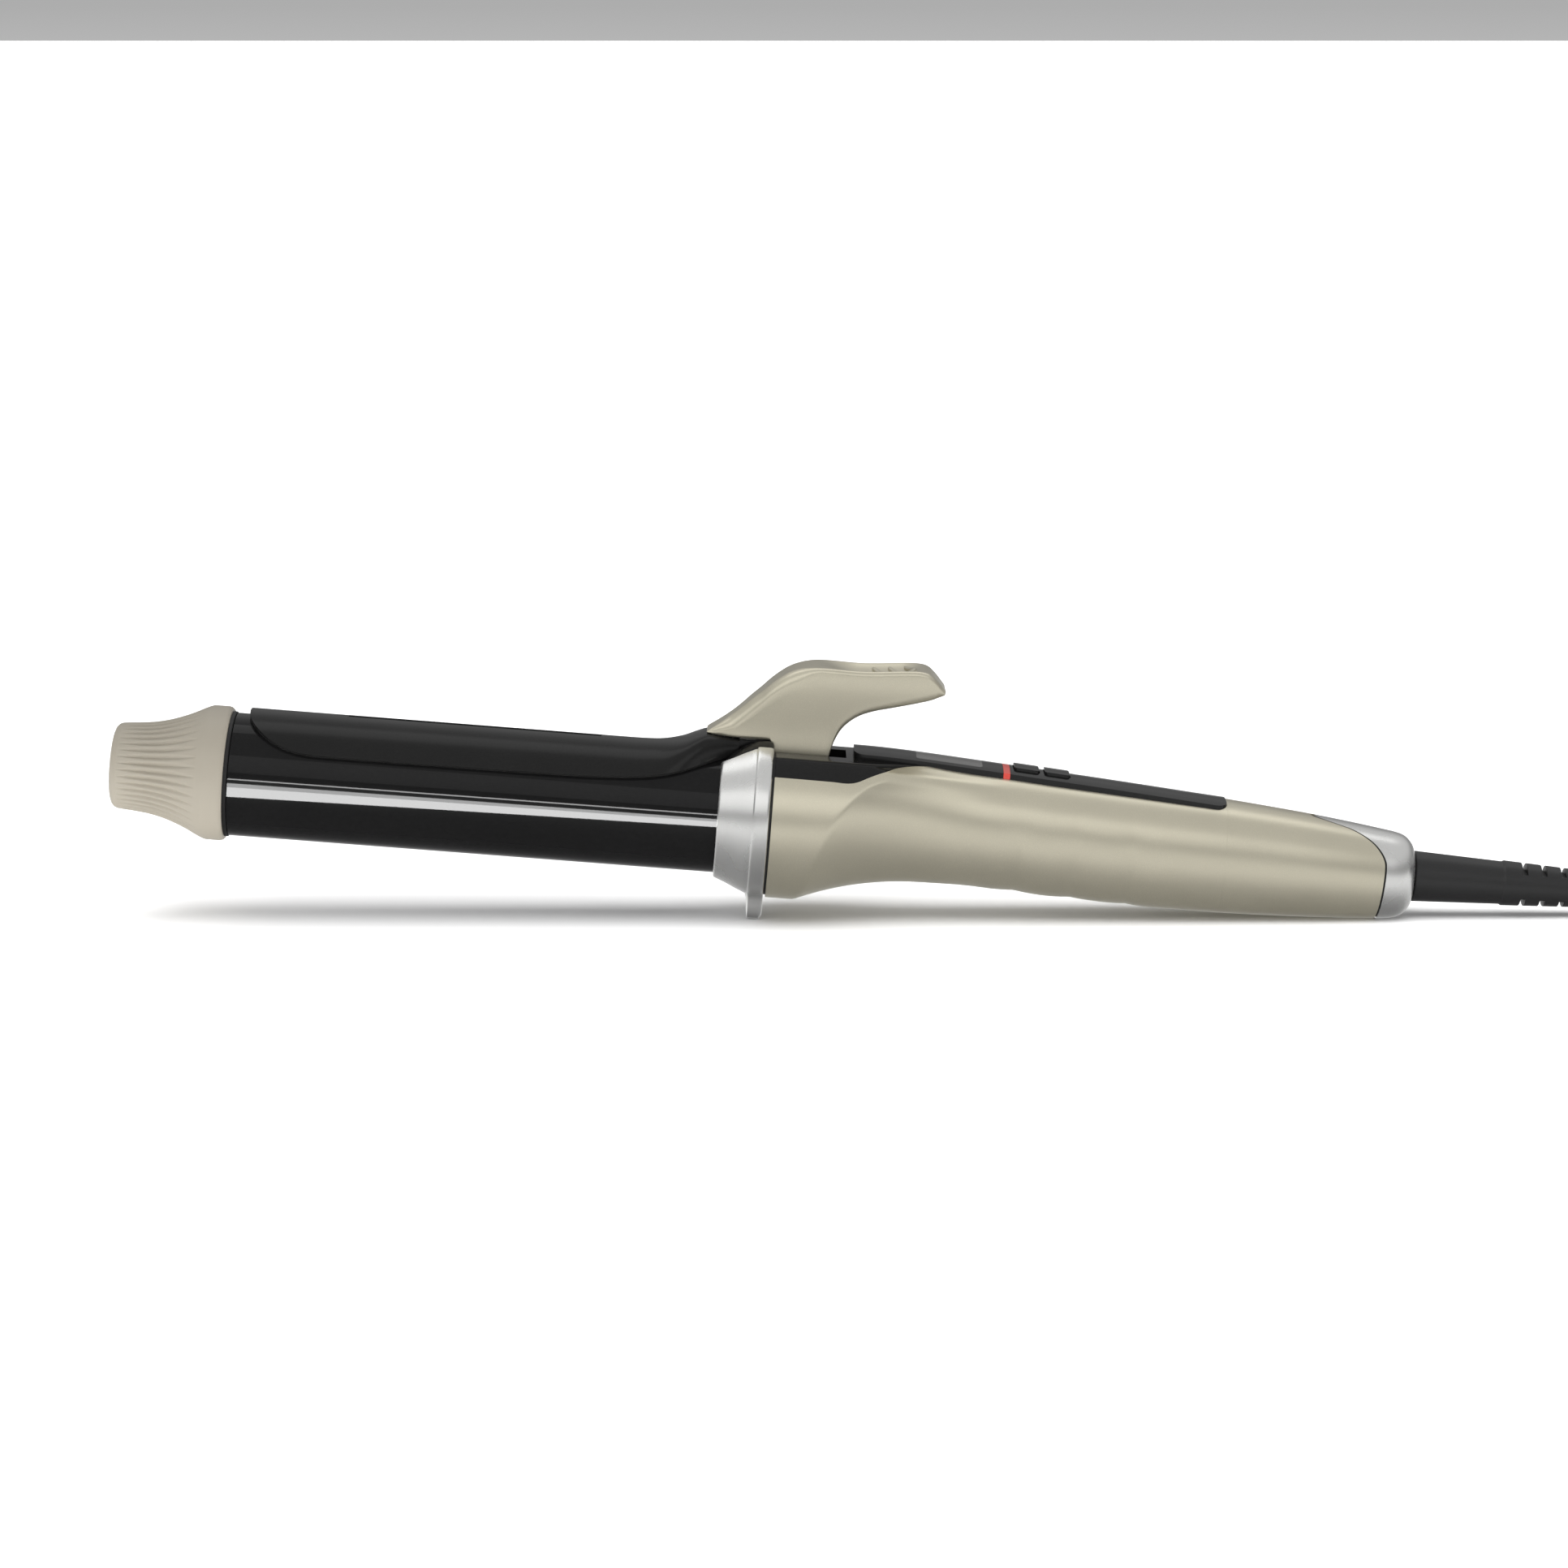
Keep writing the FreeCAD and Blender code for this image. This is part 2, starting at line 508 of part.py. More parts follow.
def cord_tube(name, points):
    """A tube along straight runs joined by tangent arcs, each as large as its two runs allow."""
    edges = []
    start = points[0]
    for before, corner, after in zip(points, points[1:], points[2:]):
        into, out = corner - before, after - corner
        turn = into.getAngle(out)
        radius = 0.45 * min(into.Length, out.Length) / math.tan(turn / 2)
        reach = radius * math.tan(turn / 2)
        a, b = corner - into.normalize() * reach, corner + out.normalize() * reach
        towards = ((a - corner) + (b - corner)).normalize()
        middle = corner + towards * (radius / math.cos(turn / 2) - radius)
        edges.append(Part.makeLine(start, a))
        edges.append(Part.Arc(a, middle, b).toShape())
        start = b
        print(f"{name}: bend radius {radius:.1f} mm, turn {math.degrees(turn):.1f} degrees")
    edges.append(Part.makeLine(start, points[-1]))
    path = Part.Wire(edges)
    ring = Part.Wire([Part.makeCircle(CORD_D / 2, points[0], points[1] - points[0])])
    tube = path.makePipeShell([ring], True, False)
    print(f"{name}: length {path.Length:.1f} mm, volume {tube.Volume:.0f}, "
          f"section times length {math.pi * (CORD_D / 2) ** 2 * path.Length:.0f}")
    return tube


def hank_shape():
    """Outer shape of the folded hank: a round loop at each end and a waist where the tie draws it in."""
    bend = (HANK_REACH ** 2 + HANK_WAIST ** 2 - HANK_LOOP_R ** 2) / (2 * (HANK_LOOP_R - HANK_WAIST))
    meet_x = HANK_REACH * bend / (HANK_LOOP_R + bend)
    meet_y = HANK_LOOP_R * (HANK_WAIST + bend) / (HANK_LOOP_R + bend)
    shape = box(HANK_X - meet_x, HANK_X + meet_x, HANK_Y - meet_y, HANK_Y + meet_y, 0, HANK_HIGH)
    for side in (-1, 1):
        hollow = Vector(HANK_X, HANK_Y + side * (HANK_WAIST + bend), 0)
        shape = shape.cut(Part.makeCylinder(bend, HANK_HIGH, hollow))
    for side in (-1, 1):
        loop = Vector(HANK_X + side * HANK_REACH, HANK_Y, 0)
        shape = shape.fuse(Part.makeCylinder(HANK_LOOP_R, HANK_HIGH, loop))
    return shape


def tie_loop(grow, long):
    """The block that the tie goes round, grown on every side, with rounded corners."""
    half = HANK_WAIST + grow
    block = box(HANK_X - long / 2, HANK_X + long / 2, HANK_Y - half, HANK_Y + half, TIE_T - grow,
                HANK_HIGH + TIE_T + grow)
    corners = [e for e in block.Edges if abs(e.tangentAt(0).x) > 0.9]
    return block.makeFillet(TIE_CORNER + grow, corners)


def cord_parts():
    """The cord from the strain relief to the hank, the hank and its tie, and the cord's end."""
    exit_point = place(RELIEF_END + 0.3, 0, SWIVEL_Z)
    lead = cord_tube("cord_lead", [exit_point] + [Vector(*p) for p in LEAD_ROUTE])
    end = cord_tube("cord_end", [Vector(*p) for p in END_ROUTE])
    tie = tie_loop(TIE_T, TIE_WIDE).cut(tie_loop(0.0, TIE_WIDE + 2))
    return {"cord_lead": lead, "cord_hank": hank_shape().cut(tie), "cord_tie": tie, "cord_end": end}


def plug_parts():
    """Moulded plug lying on the table at the cord's end, its pins towards +x."""
    start = Vector(*END_ROUTE[-1])
    neck = Part.makeCone(4.0, 5.4, PLUG_NECK, start, Vector(1, 0, 0))
    back = start.x + PLUG_NECK
    front = back + PLUG_LONG
    half = PLUG_WIDE / 2
    body = box(back, front, start.y - half, start.y + half, 0, PLUG_HIGH)
    body = body.makeFillet(3.0, body.Edges)
    blades = []
    for side in (-1, 1):
        low = start.y + side * BLADE_GAP / 2 - BLADE[2] / 2
        blades.append(box(front, front + BLADE[0], low, low + BLADE[2], start.z - BLADE[1] / 2,
                          start.z + BLADE[1] / 2))
    return {"plug_body": neck.fuse(body), "plug_blades": Part.makeCompound(blades)}


def main():
    """Builds every piece and writes one STEP file each."""
    os.makedirs("parts", exist_ok=True)
    shapes = {name: set_down(shape) for name, shape in tool_parts().items()}
    shapes.update(cord_parts())
    shapes.update(plug_parts())
    for name, shape in shapes.items():
        if not shape.isValid() or shape.Volume <= 0:
            print(f"BAD {name}: valid {shape.isValid()}, volume {shape.Volume:.1f}")
        print(f"{name}: {len(shape.Solids)} solids, {shape.Volume:.0f} mm3")
        shape.exportStep(f"parts/{name}.step")


if __name__ == "__main__":
    main()
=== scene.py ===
"""Curling iron with a spring clamp: the looks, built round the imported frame.

Lengths inside the sub-assembly classes are millimetres along the iron itself: x runs down the barrel
towards the cord, z is up across it, and zero is the barrel's axis at the seam between collar and handle.
ToolFrame carries them to the frame's metres.
"""

from __future__ import annotations

import bisect
import json
import logging
import math
from dataclasses import dataclass, field
from enum import Enum
from typing import Callable, Sequence

import bmesh
import bpy
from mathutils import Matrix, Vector

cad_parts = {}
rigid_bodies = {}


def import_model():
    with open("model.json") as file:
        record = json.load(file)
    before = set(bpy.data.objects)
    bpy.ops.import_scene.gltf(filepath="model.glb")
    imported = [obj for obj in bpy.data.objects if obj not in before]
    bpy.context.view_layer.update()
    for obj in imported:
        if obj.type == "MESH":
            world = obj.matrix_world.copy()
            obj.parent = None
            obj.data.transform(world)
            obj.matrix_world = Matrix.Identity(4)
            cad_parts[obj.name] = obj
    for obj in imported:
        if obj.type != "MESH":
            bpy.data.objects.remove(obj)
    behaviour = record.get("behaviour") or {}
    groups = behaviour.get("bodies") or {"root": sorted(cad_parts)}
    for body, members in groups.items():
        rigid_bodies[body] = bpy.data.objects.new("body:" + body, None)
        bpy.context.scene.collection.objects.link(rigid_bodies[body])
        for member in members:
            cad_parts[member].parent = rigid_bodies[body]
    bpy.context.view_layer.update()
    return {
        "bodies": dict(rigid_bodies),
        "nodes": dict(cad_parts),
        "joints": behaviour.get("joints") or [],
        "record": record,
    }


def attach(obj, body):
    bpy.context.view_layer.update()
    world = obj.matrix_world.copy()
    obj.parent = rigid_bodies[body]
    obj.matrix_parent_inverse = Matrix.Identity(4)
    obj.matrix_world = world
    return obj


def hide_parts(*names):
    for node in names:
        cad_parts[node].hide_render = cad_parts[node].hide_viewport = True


LOG = logging.getLogger("curling_iron")
MM = 0.001

Row = list[Vector]
Profile = Sequence[tuple[float, float]]


class Body(Enum):
    """The frame's moving bodies."""

    ROOT = "root"
    CLAMP = "clamp"
    SWIVEL = "swivel"
    POWER = "power_button"
    TEMPERATURE = "temperature_button"


class Grain(Enum):
    """How a finish breaks up up close."""

    PEARL = "pearl"
    FINE = "fine"
    BRUSHED = "brushed"
    MOULDED = "moulded"
    WOVEN = "woven"


def table_lookup(table: Profile, x: float) -> float:
    """Reads a smooth curve through (place, value) points.

    Args:
        table: the points, in rising order of place.
        x: where to read it.

    Returns:
        The value at x, held flat past both ends.
    """
    places = [p for p, _ in table]
    if x <= places[0]:
        return table[0][1]
    if x >= places[-1]:
        return table[-1][1]
    i = bisect.bisect_right(places, x) - 1

    def slope(k: int) -> float:
        """Slope of the curve at point k."""
        lo, hi = max(0, k - 1), min(len(table) - 1, k + 1)
        return (table[hi][1] - table[lo][1]) / (table[hi][0] - table[lo][0])

    (x0, v0), (x1, v1) = table[i], table[i + 1]
    span = x1 - x0
    t = (x - x0) / span
    a, b = slope(i) * span, slope(i + 1) * span
    return (
        v0 * (2 * t**3 - 3 * t**2 + 1)
        + a * (t**3 - 2 * t**2 + t)
        + v1 * (3 * t**2 - 2 * t**3)
        + b * (t**3 - t**2)
    )


def spread(start: float, stop: float, count: int) -> list[float]:
    """Evenly spaced values from start to stop, both kept."""
    return [start + (stop - start) * i / (count - 1) for i in range(count)]


def ease(t: float) -> float:
    """Smooth step from 0 to 1."""
    t = min(1.0, max(0.0, t))
    return t * t * (3 - 2 * t)


class ToolFrame:
    """Carries a point of the tilted iron to the frame, from the hinge and swivel that the frame gives."""

    PIVOT = Vector((7.5, 0.0, 13.5))

    def __init__(self, joints: list[dict]) -> None:
        """Reads the tilt and the place of the iron.

        Args:
            joints: the frame's joints.
        """
        by_name = {j["name"]: j for j in joints}
        along = by_name["cord_swivel"]["axis"]
        self.tilt = math.atan2(-along[2], along[0])
        self.across = Vector((math.sin(self.tilt), 0.0, math.cos(self.tilt)))
        self.along = Vector((math.cos(self.tilt), 0.0, -math.sin(self.tilt)))
        pivot = Vector(by_name["clamp_hinge"]["pos_m"])
        self.origin = pivot - self.turn(self.PIVOT) * MM

    def turn(self, p: Vector) -> Vector:
        """Turns a direction of the iron into the frame."""
        return self.along * p.x + Vector((0.0, p.y, 0.0)) + self.across * p.z

    def place(self, p: Vector) -> Vector:
        """Carries a point in the iron's millimetres to the frame's metres."""
        return self.origin + self.turn(p) * MM


# -------------------------------------------------------------------- finishes


@dataclass(frozen=True)
class Finish:
    """One surface finish, made as nodes round a single shader."""

    name: str
    color: tuple[float, float, float]
    roughness: float
    grain: Grain = Grain.FINE
    metallic: float = 0.0
    coat: float = 0.0
    coat_roughness: float = 0.05
    ior: float = 1.5
    grain_per_m: float = 2500.0
    grain_depth_mm: float = 0.01
    shade: float = 0.04
    sheen: float = 0.0
    glow: float = 0.0

    def make(self) -> bpy.types.Material:
        """Builds the material once and hands back the same one later.

        Returns:
            The material.
        """
        label = f"{self.name}_finish"
        found = bpy.data.materials.get(label)
        if found:
            return found
        material = bpy.data.materials.new(label)
        material.use_nodes = True
        nodes, links = material.node_tree.nodes, material.node_tree.links
        shader = nodes["Principled BSDF"]
        shader.inputs["Metallic"].default_value = self.metallic
        shader.inputs["IOR"].default_value = self.ior
        shader.inputs["Coat Weight"].default_value = self.coat
        shader.inputs["Coat Roughness"].default_value = self.coat_roughness
        shader.inputs["Sheen Weight"].default_value = self.sheen
        if self.glow:
            shader.inputs["Emission Color"].default_value = (*self.color, 1.0)
            shader.inputs["Emission Strength"].default_value = self.glow
        place = nodes.new("ShaderNodeTexCoord").outputs["Object"]
        fine = self._grain(nodes, links, place)
        patches = nodes.new("ShaderNodeTexNoise")
        patches.inputs["Scale"].default_value = 45.0
        patches.inputs["Detail"].default_value = 3.0
        links.new(place, patches.inputs["Vector"])
        self._colour(nodes, links, fine, patches.outputs["Fac"], shader)
        rough = nodes.new("ShaderNodeMapRange")
        rough.inputs["To Min"].default_value = self.roughness * 0.88
        rough.inputs["To Max"].default_value = min(1.0, self.roughness * 1.12 + 0.005)
        links.new(patches.outputs["Fac"], rough.inputs["Value"])
        links.new(rough.outputs["Result"], shader.inputs["Roughness"])
        bump = nodes.new("ShaderNodeBump")
        bump.inputs["Strength"].default_value = 1.0
        bump.inputs["Distance"].default_value = self.grain_depth_mm * MM
        links.new(fine, bump.inputs["Height"])
        links.new(bump.outputs["Normal"], shader.inputs["Normal"])
        return material

    def _grain(
        self, nodes: bpy.types.Nodes, links: bpy.types.NodeLinks, place: bpy.types.NodeSocket
    ) -> bpy.types.NodeSocket:
        """Adds the fine pattern.

        Args:
            nodes: the material's nodes.
            links: the material's links.
            place: the socket that gives the place on the piece.

        Returns:
            The socket with the pattern's height, from 0 to 1.
        """
        if self.grain is Grain.BRUSHED:
            stretch = nodes.new("ShaderNodeMapping")
            stretch.inputs["Scale"].default_value = (1.0, 0.04, 0.04)
            links.new(place, stretch.inputs["Vector"])
            place = stretch.outputs["Vector"]
        if self.grain is Grain.WOVEN:
            weave = nodes.new("ShaderNodeTexWave")
            weave.inputs["Scale"].default_value = self.grain_per_m
            weave.inputs["Distortion"].default_value = 1.5
            links.new(place, weave.inputs["Vector"])
            return weave.outputs["Fac"]
        if self.grain is Grain.PEARL:
            flakes = nodes.new("ShaderNodeTexVoronoi")
            flakes.inputs["Scale"].default_value = self.grain_per_m
            links.new(place, flakes.inputs["Vector"])
            return flakes.outputs["Distance"]
        noise = nodes.new("ShaderNodeTexNoise")
        noise.inputs["Scale"].default_value = self.grain_per_m
        noise.inputs["Detail"].default_value = 4.0 if self.grain is Grain.MOULDED else 2.0
        links.new(place, noise.inputs["Vector"])
        return noise.outputs["Fac"]

    def _colour(
        self, nodes: bpy.types.Nodes, links: bpy.types.NodeLinks, fine: bpy.types.NodeSocket,
        patches: bpy.types.NodeSocket, shader: bpy.types.ShaderNode,
    ) -> None:
        """Varies the colour a little with the grain and in larger patches.

        Args:
            nodes: the material's nodes.
            links: the material's links.
            fine: the grain's socket.
            patches: the socket of the larger variation.
            shader: the shader that takes the colour.
        """
        both = nodes.new("ShaderNodeMath")
        both.operation = "MULTIPLY"
        links.new(fine, both.inputs[0])
        links.new(patches, both.inputs[1])
        ramp = nodes.new("ShaderNodeValToRGB")
        low, high = ramp.color_ramp.elements
        low.position, high.position = 0.05, 0.55
        low.color = (*[c * (1 - self.shade) for c in self.color], 1.0)
        high.color = (*[min(1.0, c * (1 + self.shade)) for c in self.color], 1.0)
        links.new(both.outputs["Value"], ramp.inputs["Fac"])
        links.new(ramp.outputs["Color"], shader.inputs["Base Color"])


CHAMPAGNE = Finish(
    "champagne_pearl", (0.66, 0.62, 0.49), 0.33, Grain.PEARL, metallic=0.78, coat=0.15,
    coat_roughness=0.3, grain_per_m=4200.0, grain_depth_mm=0.004, shade=0.05,
)
BARREL_COAT = Finish(
    "barrel_ceramic_coat", (0.010, 0.010, 0.0102), 0.05, Grain.FINE, ior=1.26,
    grain_per_m=900.0, grain_depth_mm=0.0002, shade=0.15,
)
CLAMP_COAT = Finish(
    "clamp_ceramic_coat", (0.014, 0.014, 0.0138), 0.2, Grain.FINE, ior=1.27,
    grain_per_m=1800.0, grain_depth_mm=0.002, shade=0.15,
)
SATIN_CHROME = Finish(
    "satin_chrome", (0.79, 0.79, 0.775), 0.27, Grain.BRUSHED, metallic=0.9, grain_per_m=5200.0,
    grain_depth_mm=0.0015, shade=0.03,
)
CREAM = Finish(
    "cream_tip", (0.46, 0.42, 0.345), 0.42, Grain.MOULDED, grain_per_m=3800.0,
    grain_depth_mm=0.006, shade=0.03,
)
GLOSS_BLACK = Finish(
    "gloss_black", (0.012, 0.012, 0.0118), 0.14, Grain.FINE, ior=1.32,
    grain_per_m=1500.0, grain_depth_mm=0.001, shade=0.15,
)
WINDOW = Finish(
    "smoked_window", (0.10, 0.098, 0.094), 0.16, Grain.FINE, coat=0.5, grain_per_m=700.0, shade=0.1,
)
MARKER = Finish("marker_red", (0.72, 0.045, 0.025), 0.3, Grain.FINE, coat=0.4, glow=0.12, shade=0.05)
SEAL = Finish(
    "seal_black", (0.012, 0.012, 0.012), 0.6, Grain.MOULDED, grain_per_m=3000.0, grain_depth_mm=0.01,
)
CORD_PVC = Finish(
    "cord_black", (0.016, 0.016, 0.0165), 0.42, Grain.MOULDED, grain_per_m=2600.0,
    grain_depth_mm=0.012, shade=0.12,
)
TIE_CLOTH = Finish(
    "tie_black", (0.02, 0.02, 0.021), 0.85, Grain.WOVEN, grain_per_m=900.0,
    grain_depth_mm=0.12, sheen=0.3, shade=0.3,
)
NICKEL = Finish("nickel", (0.66, 0.63, 0.57), 0.24, Grain.BRUSHED, metallic=1.0, grain_per_m=3000.0)
STEEL = Finish("steel", (0.52, 0.52, 0.53), 0.3, Grain.BRUSHED, metallic=1.0, grain_per_m=3000.0)
ALUMINIUM = Finish("aluminium", (0.70, 0.70, 0.71), 0.35, Grain.BRUSHED, metallic=1.0, grain_per_m=2000.0)
CERAMIC = Finish("white_ceramic", (0.78, 0.76, 0.71), 0.55, Grain.MOULDED, grain_depth_mm=0.01)
HUB = Finish("hub_moulding", (0.03, 0.03, 0.032), 0.55, Grain.MOULDED, grain_depth_mm=0.015, shade=0.1)
BOARD = Finish("board_green", (0.02, 0.15, 0.06), 0.35, Grain.FINE, coat=0.3, grain_per_m=1200.0, shade=0.2)
CHIP = Finish("chip_black", (0.02, 0.02, 0.02), 0.6, Grain.MOULDED, grain_depth_mm=0.015)
LEAD = Finish("lead_white", (0.72, 0.71, 0.68), 0.45, Grain.MOULDED, grain_depth_mm=0.01)
FLOOR = Finish(
    "studio_floor", (0.9, 0.9, 0.9), 0.8, Grain.MOULDED, grain_per_m=400.0, grain_depth_mm=0.01, shade=0.004,
)


# ----------------------------------------------------------------- mesh making


class Builder:
    """Makes pieces out of rows of points, dresses them and hangs them on the frame."""

    def __init__(self, frame: dict) -> None:
        """Keeps the frame and the iron's place in it.
        """
        self.frame = frame
        self.tool = ToolFrame(frame["joints"])

    def mesh_from(
        self, name: str, bm: bmesh.types.BMesh, placed: bool = True, sharp: float = 32.0
    ) -> bpy.types.Object:
        """Turns a bmesh into an object in the frame's metres, smooth apart from its sharp edges.

        Args:
            name: the piece's name.
            bm: the mesh; it is freed.
            placed: whether its points are in the iron's millimetres and still have to be carried over.
            sharp: edges that turn by more than this many degrees stay sharp.

        Returns:
            The new object.
        """
        bmesh.ops.remove_doubles(bm, verts=bm.verts, dist=0.0005 if placed else 5e-7)
        bmesh.ops.recalc_face_normals(bm, faces=bm.faces)
        limit = math.radians(sharp)
        for edge in bm.edges:
            edge.smooth = len(edge.link_faces) == 2 and edge.calc_face_angle(0.0) < limit
        for face in bm.faces:
            face.smooth = True
        if placed:
            for vert in bm.verts:
                vert.co = self.tool.place(vert.co)
        mesh = bpy.data.meshes.new(name)
        bm.to_mesh(mesh)
        bm.free()
        made = bpy.data.objects.new(name, mesh)
        bpy.context.scene.collection.objects.link(made)
        return made

    def finish(
        self, piece: bpy.types.Object, finish: Finish, body: Body, slot: str, *nodes: str,
        bevel_mm: float = 0.0,
    ) -> bpy.types.Object:
        """Dresses a piece, rounds its edges and hangs it on its body.

        Args:
            piece: the object.
            finish: its surface finish.
            body: the body that carries it.
            slot: the record's material slot; not used.
            nodes: the frame's nodes that it stands for.
            bevel_mm: radius of its edges, or 0 to leave them.

        Returns:
            The same object.
        """
        piece.data.materials.clear()
        piece.data.materials.append(finish.make())
        if bevel_mm:
            bevel = piece.modifiers.new("rounded_edges", "BEVEL")
            bevel.width = bevel_mm * MM
            bevel.segments = 3
            bevel.limit_method = "ANGLE"
            bevel.angle_limit = math.radians(38)
            bevel.harden_normals = True
        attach(piece, body.value)
        if nodes:
            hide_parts(*nodes)
        LOG.info("%s: %s on %s", piece.name, finish.name, body.value)
        return piece

    def shell(self, name: str, outer: list[Row], inner: list[Row], wrap: bool = False) -> bpy.types.Object:
        """Closes two matching sheets of points into one solid wall.

        Args:
            name: the piece's name.
            outer: rows of points on the outside.
            inner: the same rows on the inside.
            wrap: whether each row is a closed ring.

        Returns:
            The new object.
        """
        bm = bmesh.new()
        sheets = [[[bm.verts.new(p) for p in row] for row in rows] for rows in (outer, inner)]
        rows, columns = len(outer), len(outer[0])
        steps = columns if wrap else columns - 1
        for sheet in sheets:
            for i in range(rows - 1):
                for j in range(steps):
                    k = (j + 1) % columns
                    self._face(bm, sheet[i][j], sheet[i][k], sheet[i + 1][k], sheet[i + 1][j])
        for i in (0, rows - 1):
            for j in range(steps):
                k = (j + 1) % columns
                self._face(bm, sheets[0][i][j], sheets[0][i][k], sheets[1][i][k], sheets[1][i][j])
        if not wrap:
            for j in (0, columns - 1):
                for i in range(rows - 1):
                    self._face(bm, sheets[0][i][j], sheets[0][i + 1][j], sheets[1][i + 1][j], sheets[1][i][j])
        return self.mesh_from(name, bm)

    def tube(self, name: str, rings: list[Row], placed: bool = True) -> bpy.types.Object:
        """Skins a run of closed rings and caps both ends.

        Args:
            name: the piece's name.
            rings: the rings, each with the same number of points.
            placed: whether the points still have to be carried to the frame.

        Returns:
            The new object.
        """
        bm = bmesh.new()
        made = [[bm.verts.new(p) for p in ring] for ring in rings]
        count = len(rings[0])
        for a, b in zip(made, made[1:]):
            for j in range(count):
                k = (j + 1) % count
                self._face(bm, a[j], a[k], b[k], b[j])
        for ring in (made[0], made[-1]):
            self._face(bm, *ring)
        return self.mesh_from(name, bm, placed)

    @staticmethod
    def _face(bm: bmesh.types.BMesh, *verts: bmesh.types.BMVert) -> None:
        """Adds a face, unless its points have run together.

        Args:
            bm: the mesh.
            verts: its corners in order; those that have run together count once.
        """
        distinct = []
        for vert in verts:
            if all((vert.co - other.co).length > 1e-5 for other in distinct):
                distinct.append(vert)
        if len(distinct) > 2 and not bm.faces.get(distinct):
            bm.faces.new(distinct)

    def spun(self, name: str, profile: Profile, z: float = 0.0, segments: int = 128) -> bpy.types.Object:
        """Turns an outline about a line along x.

        Args:
            name: the piece's name.
            profile: (x, radius) points, from one end on the axis or bore to the other.
            z: height of the line.
            segments: faces round the turn.

        Returns:
            The new object.
        """
        rings = []
        for x, radius in profile:
            ring = []
            for step in range(segments):
                turn = 2 * math.pi * step / segments
                ring.append(Vector((x, radius * math.sin(turn), z + radius * math.cos(turn))))
            rings.append(ring)
        bm = bmesh.new()
        made = [[bm.verts.new(p) for p in ring] for ring in rings]
        loops = list(zip(made, made[1:])) + ([(made[-1], made[0])] if profile[0][1] > 0 else [])
        for a, b in loops:
            for j in range(segments):
                k = (j + 1) % segments
                self._face(bm, a[j], a[k], b[k], b[j])
        return self.mesh_from(name, bm, sharp=28.0)

    def prism(self, name: str, outline: Profile, half: float, y: float = 0.0) -> bpy.types.Object:
        """Pushes a side outline of (x, z) points out to both sides."""
        rings = [[Vector((x, y + side * half, z)) for x, z in outline] for side in (-1, 1)]
        return self.tube(name, rings)

    def from_node(self, node: str, name: str) -> bpy.types.Object:
        """Copies a node's shape into a piece of its own, joined up so that its edges can be rounded.

        Args:
            node: the frame's node.
            name: the new piece's name.

        Returns:
            The new object.
        """
        bm = bmesh.new()
        bm.from_mesh(self.frame["nodes"][node].data)
        bmesh.ops.remove_doubles(bm, verts=bm.verts, dist=2e-6)
        flat = [e for e in bm.edges if len(e.link_faces) == 2 and e.calc_face_angle(1.0) < 0.002]
        bmesh.ops.dissolve_edges(bm, edges=flat, use_verts=False)
        bmesh.ops.dissolve_degenerate(bm, dist=1e-6, edges=bm.edges)
        return self.mesh_from(name, bm, placed=False, sharp=25.0)


# ---------------------------------------------------------------------- studio


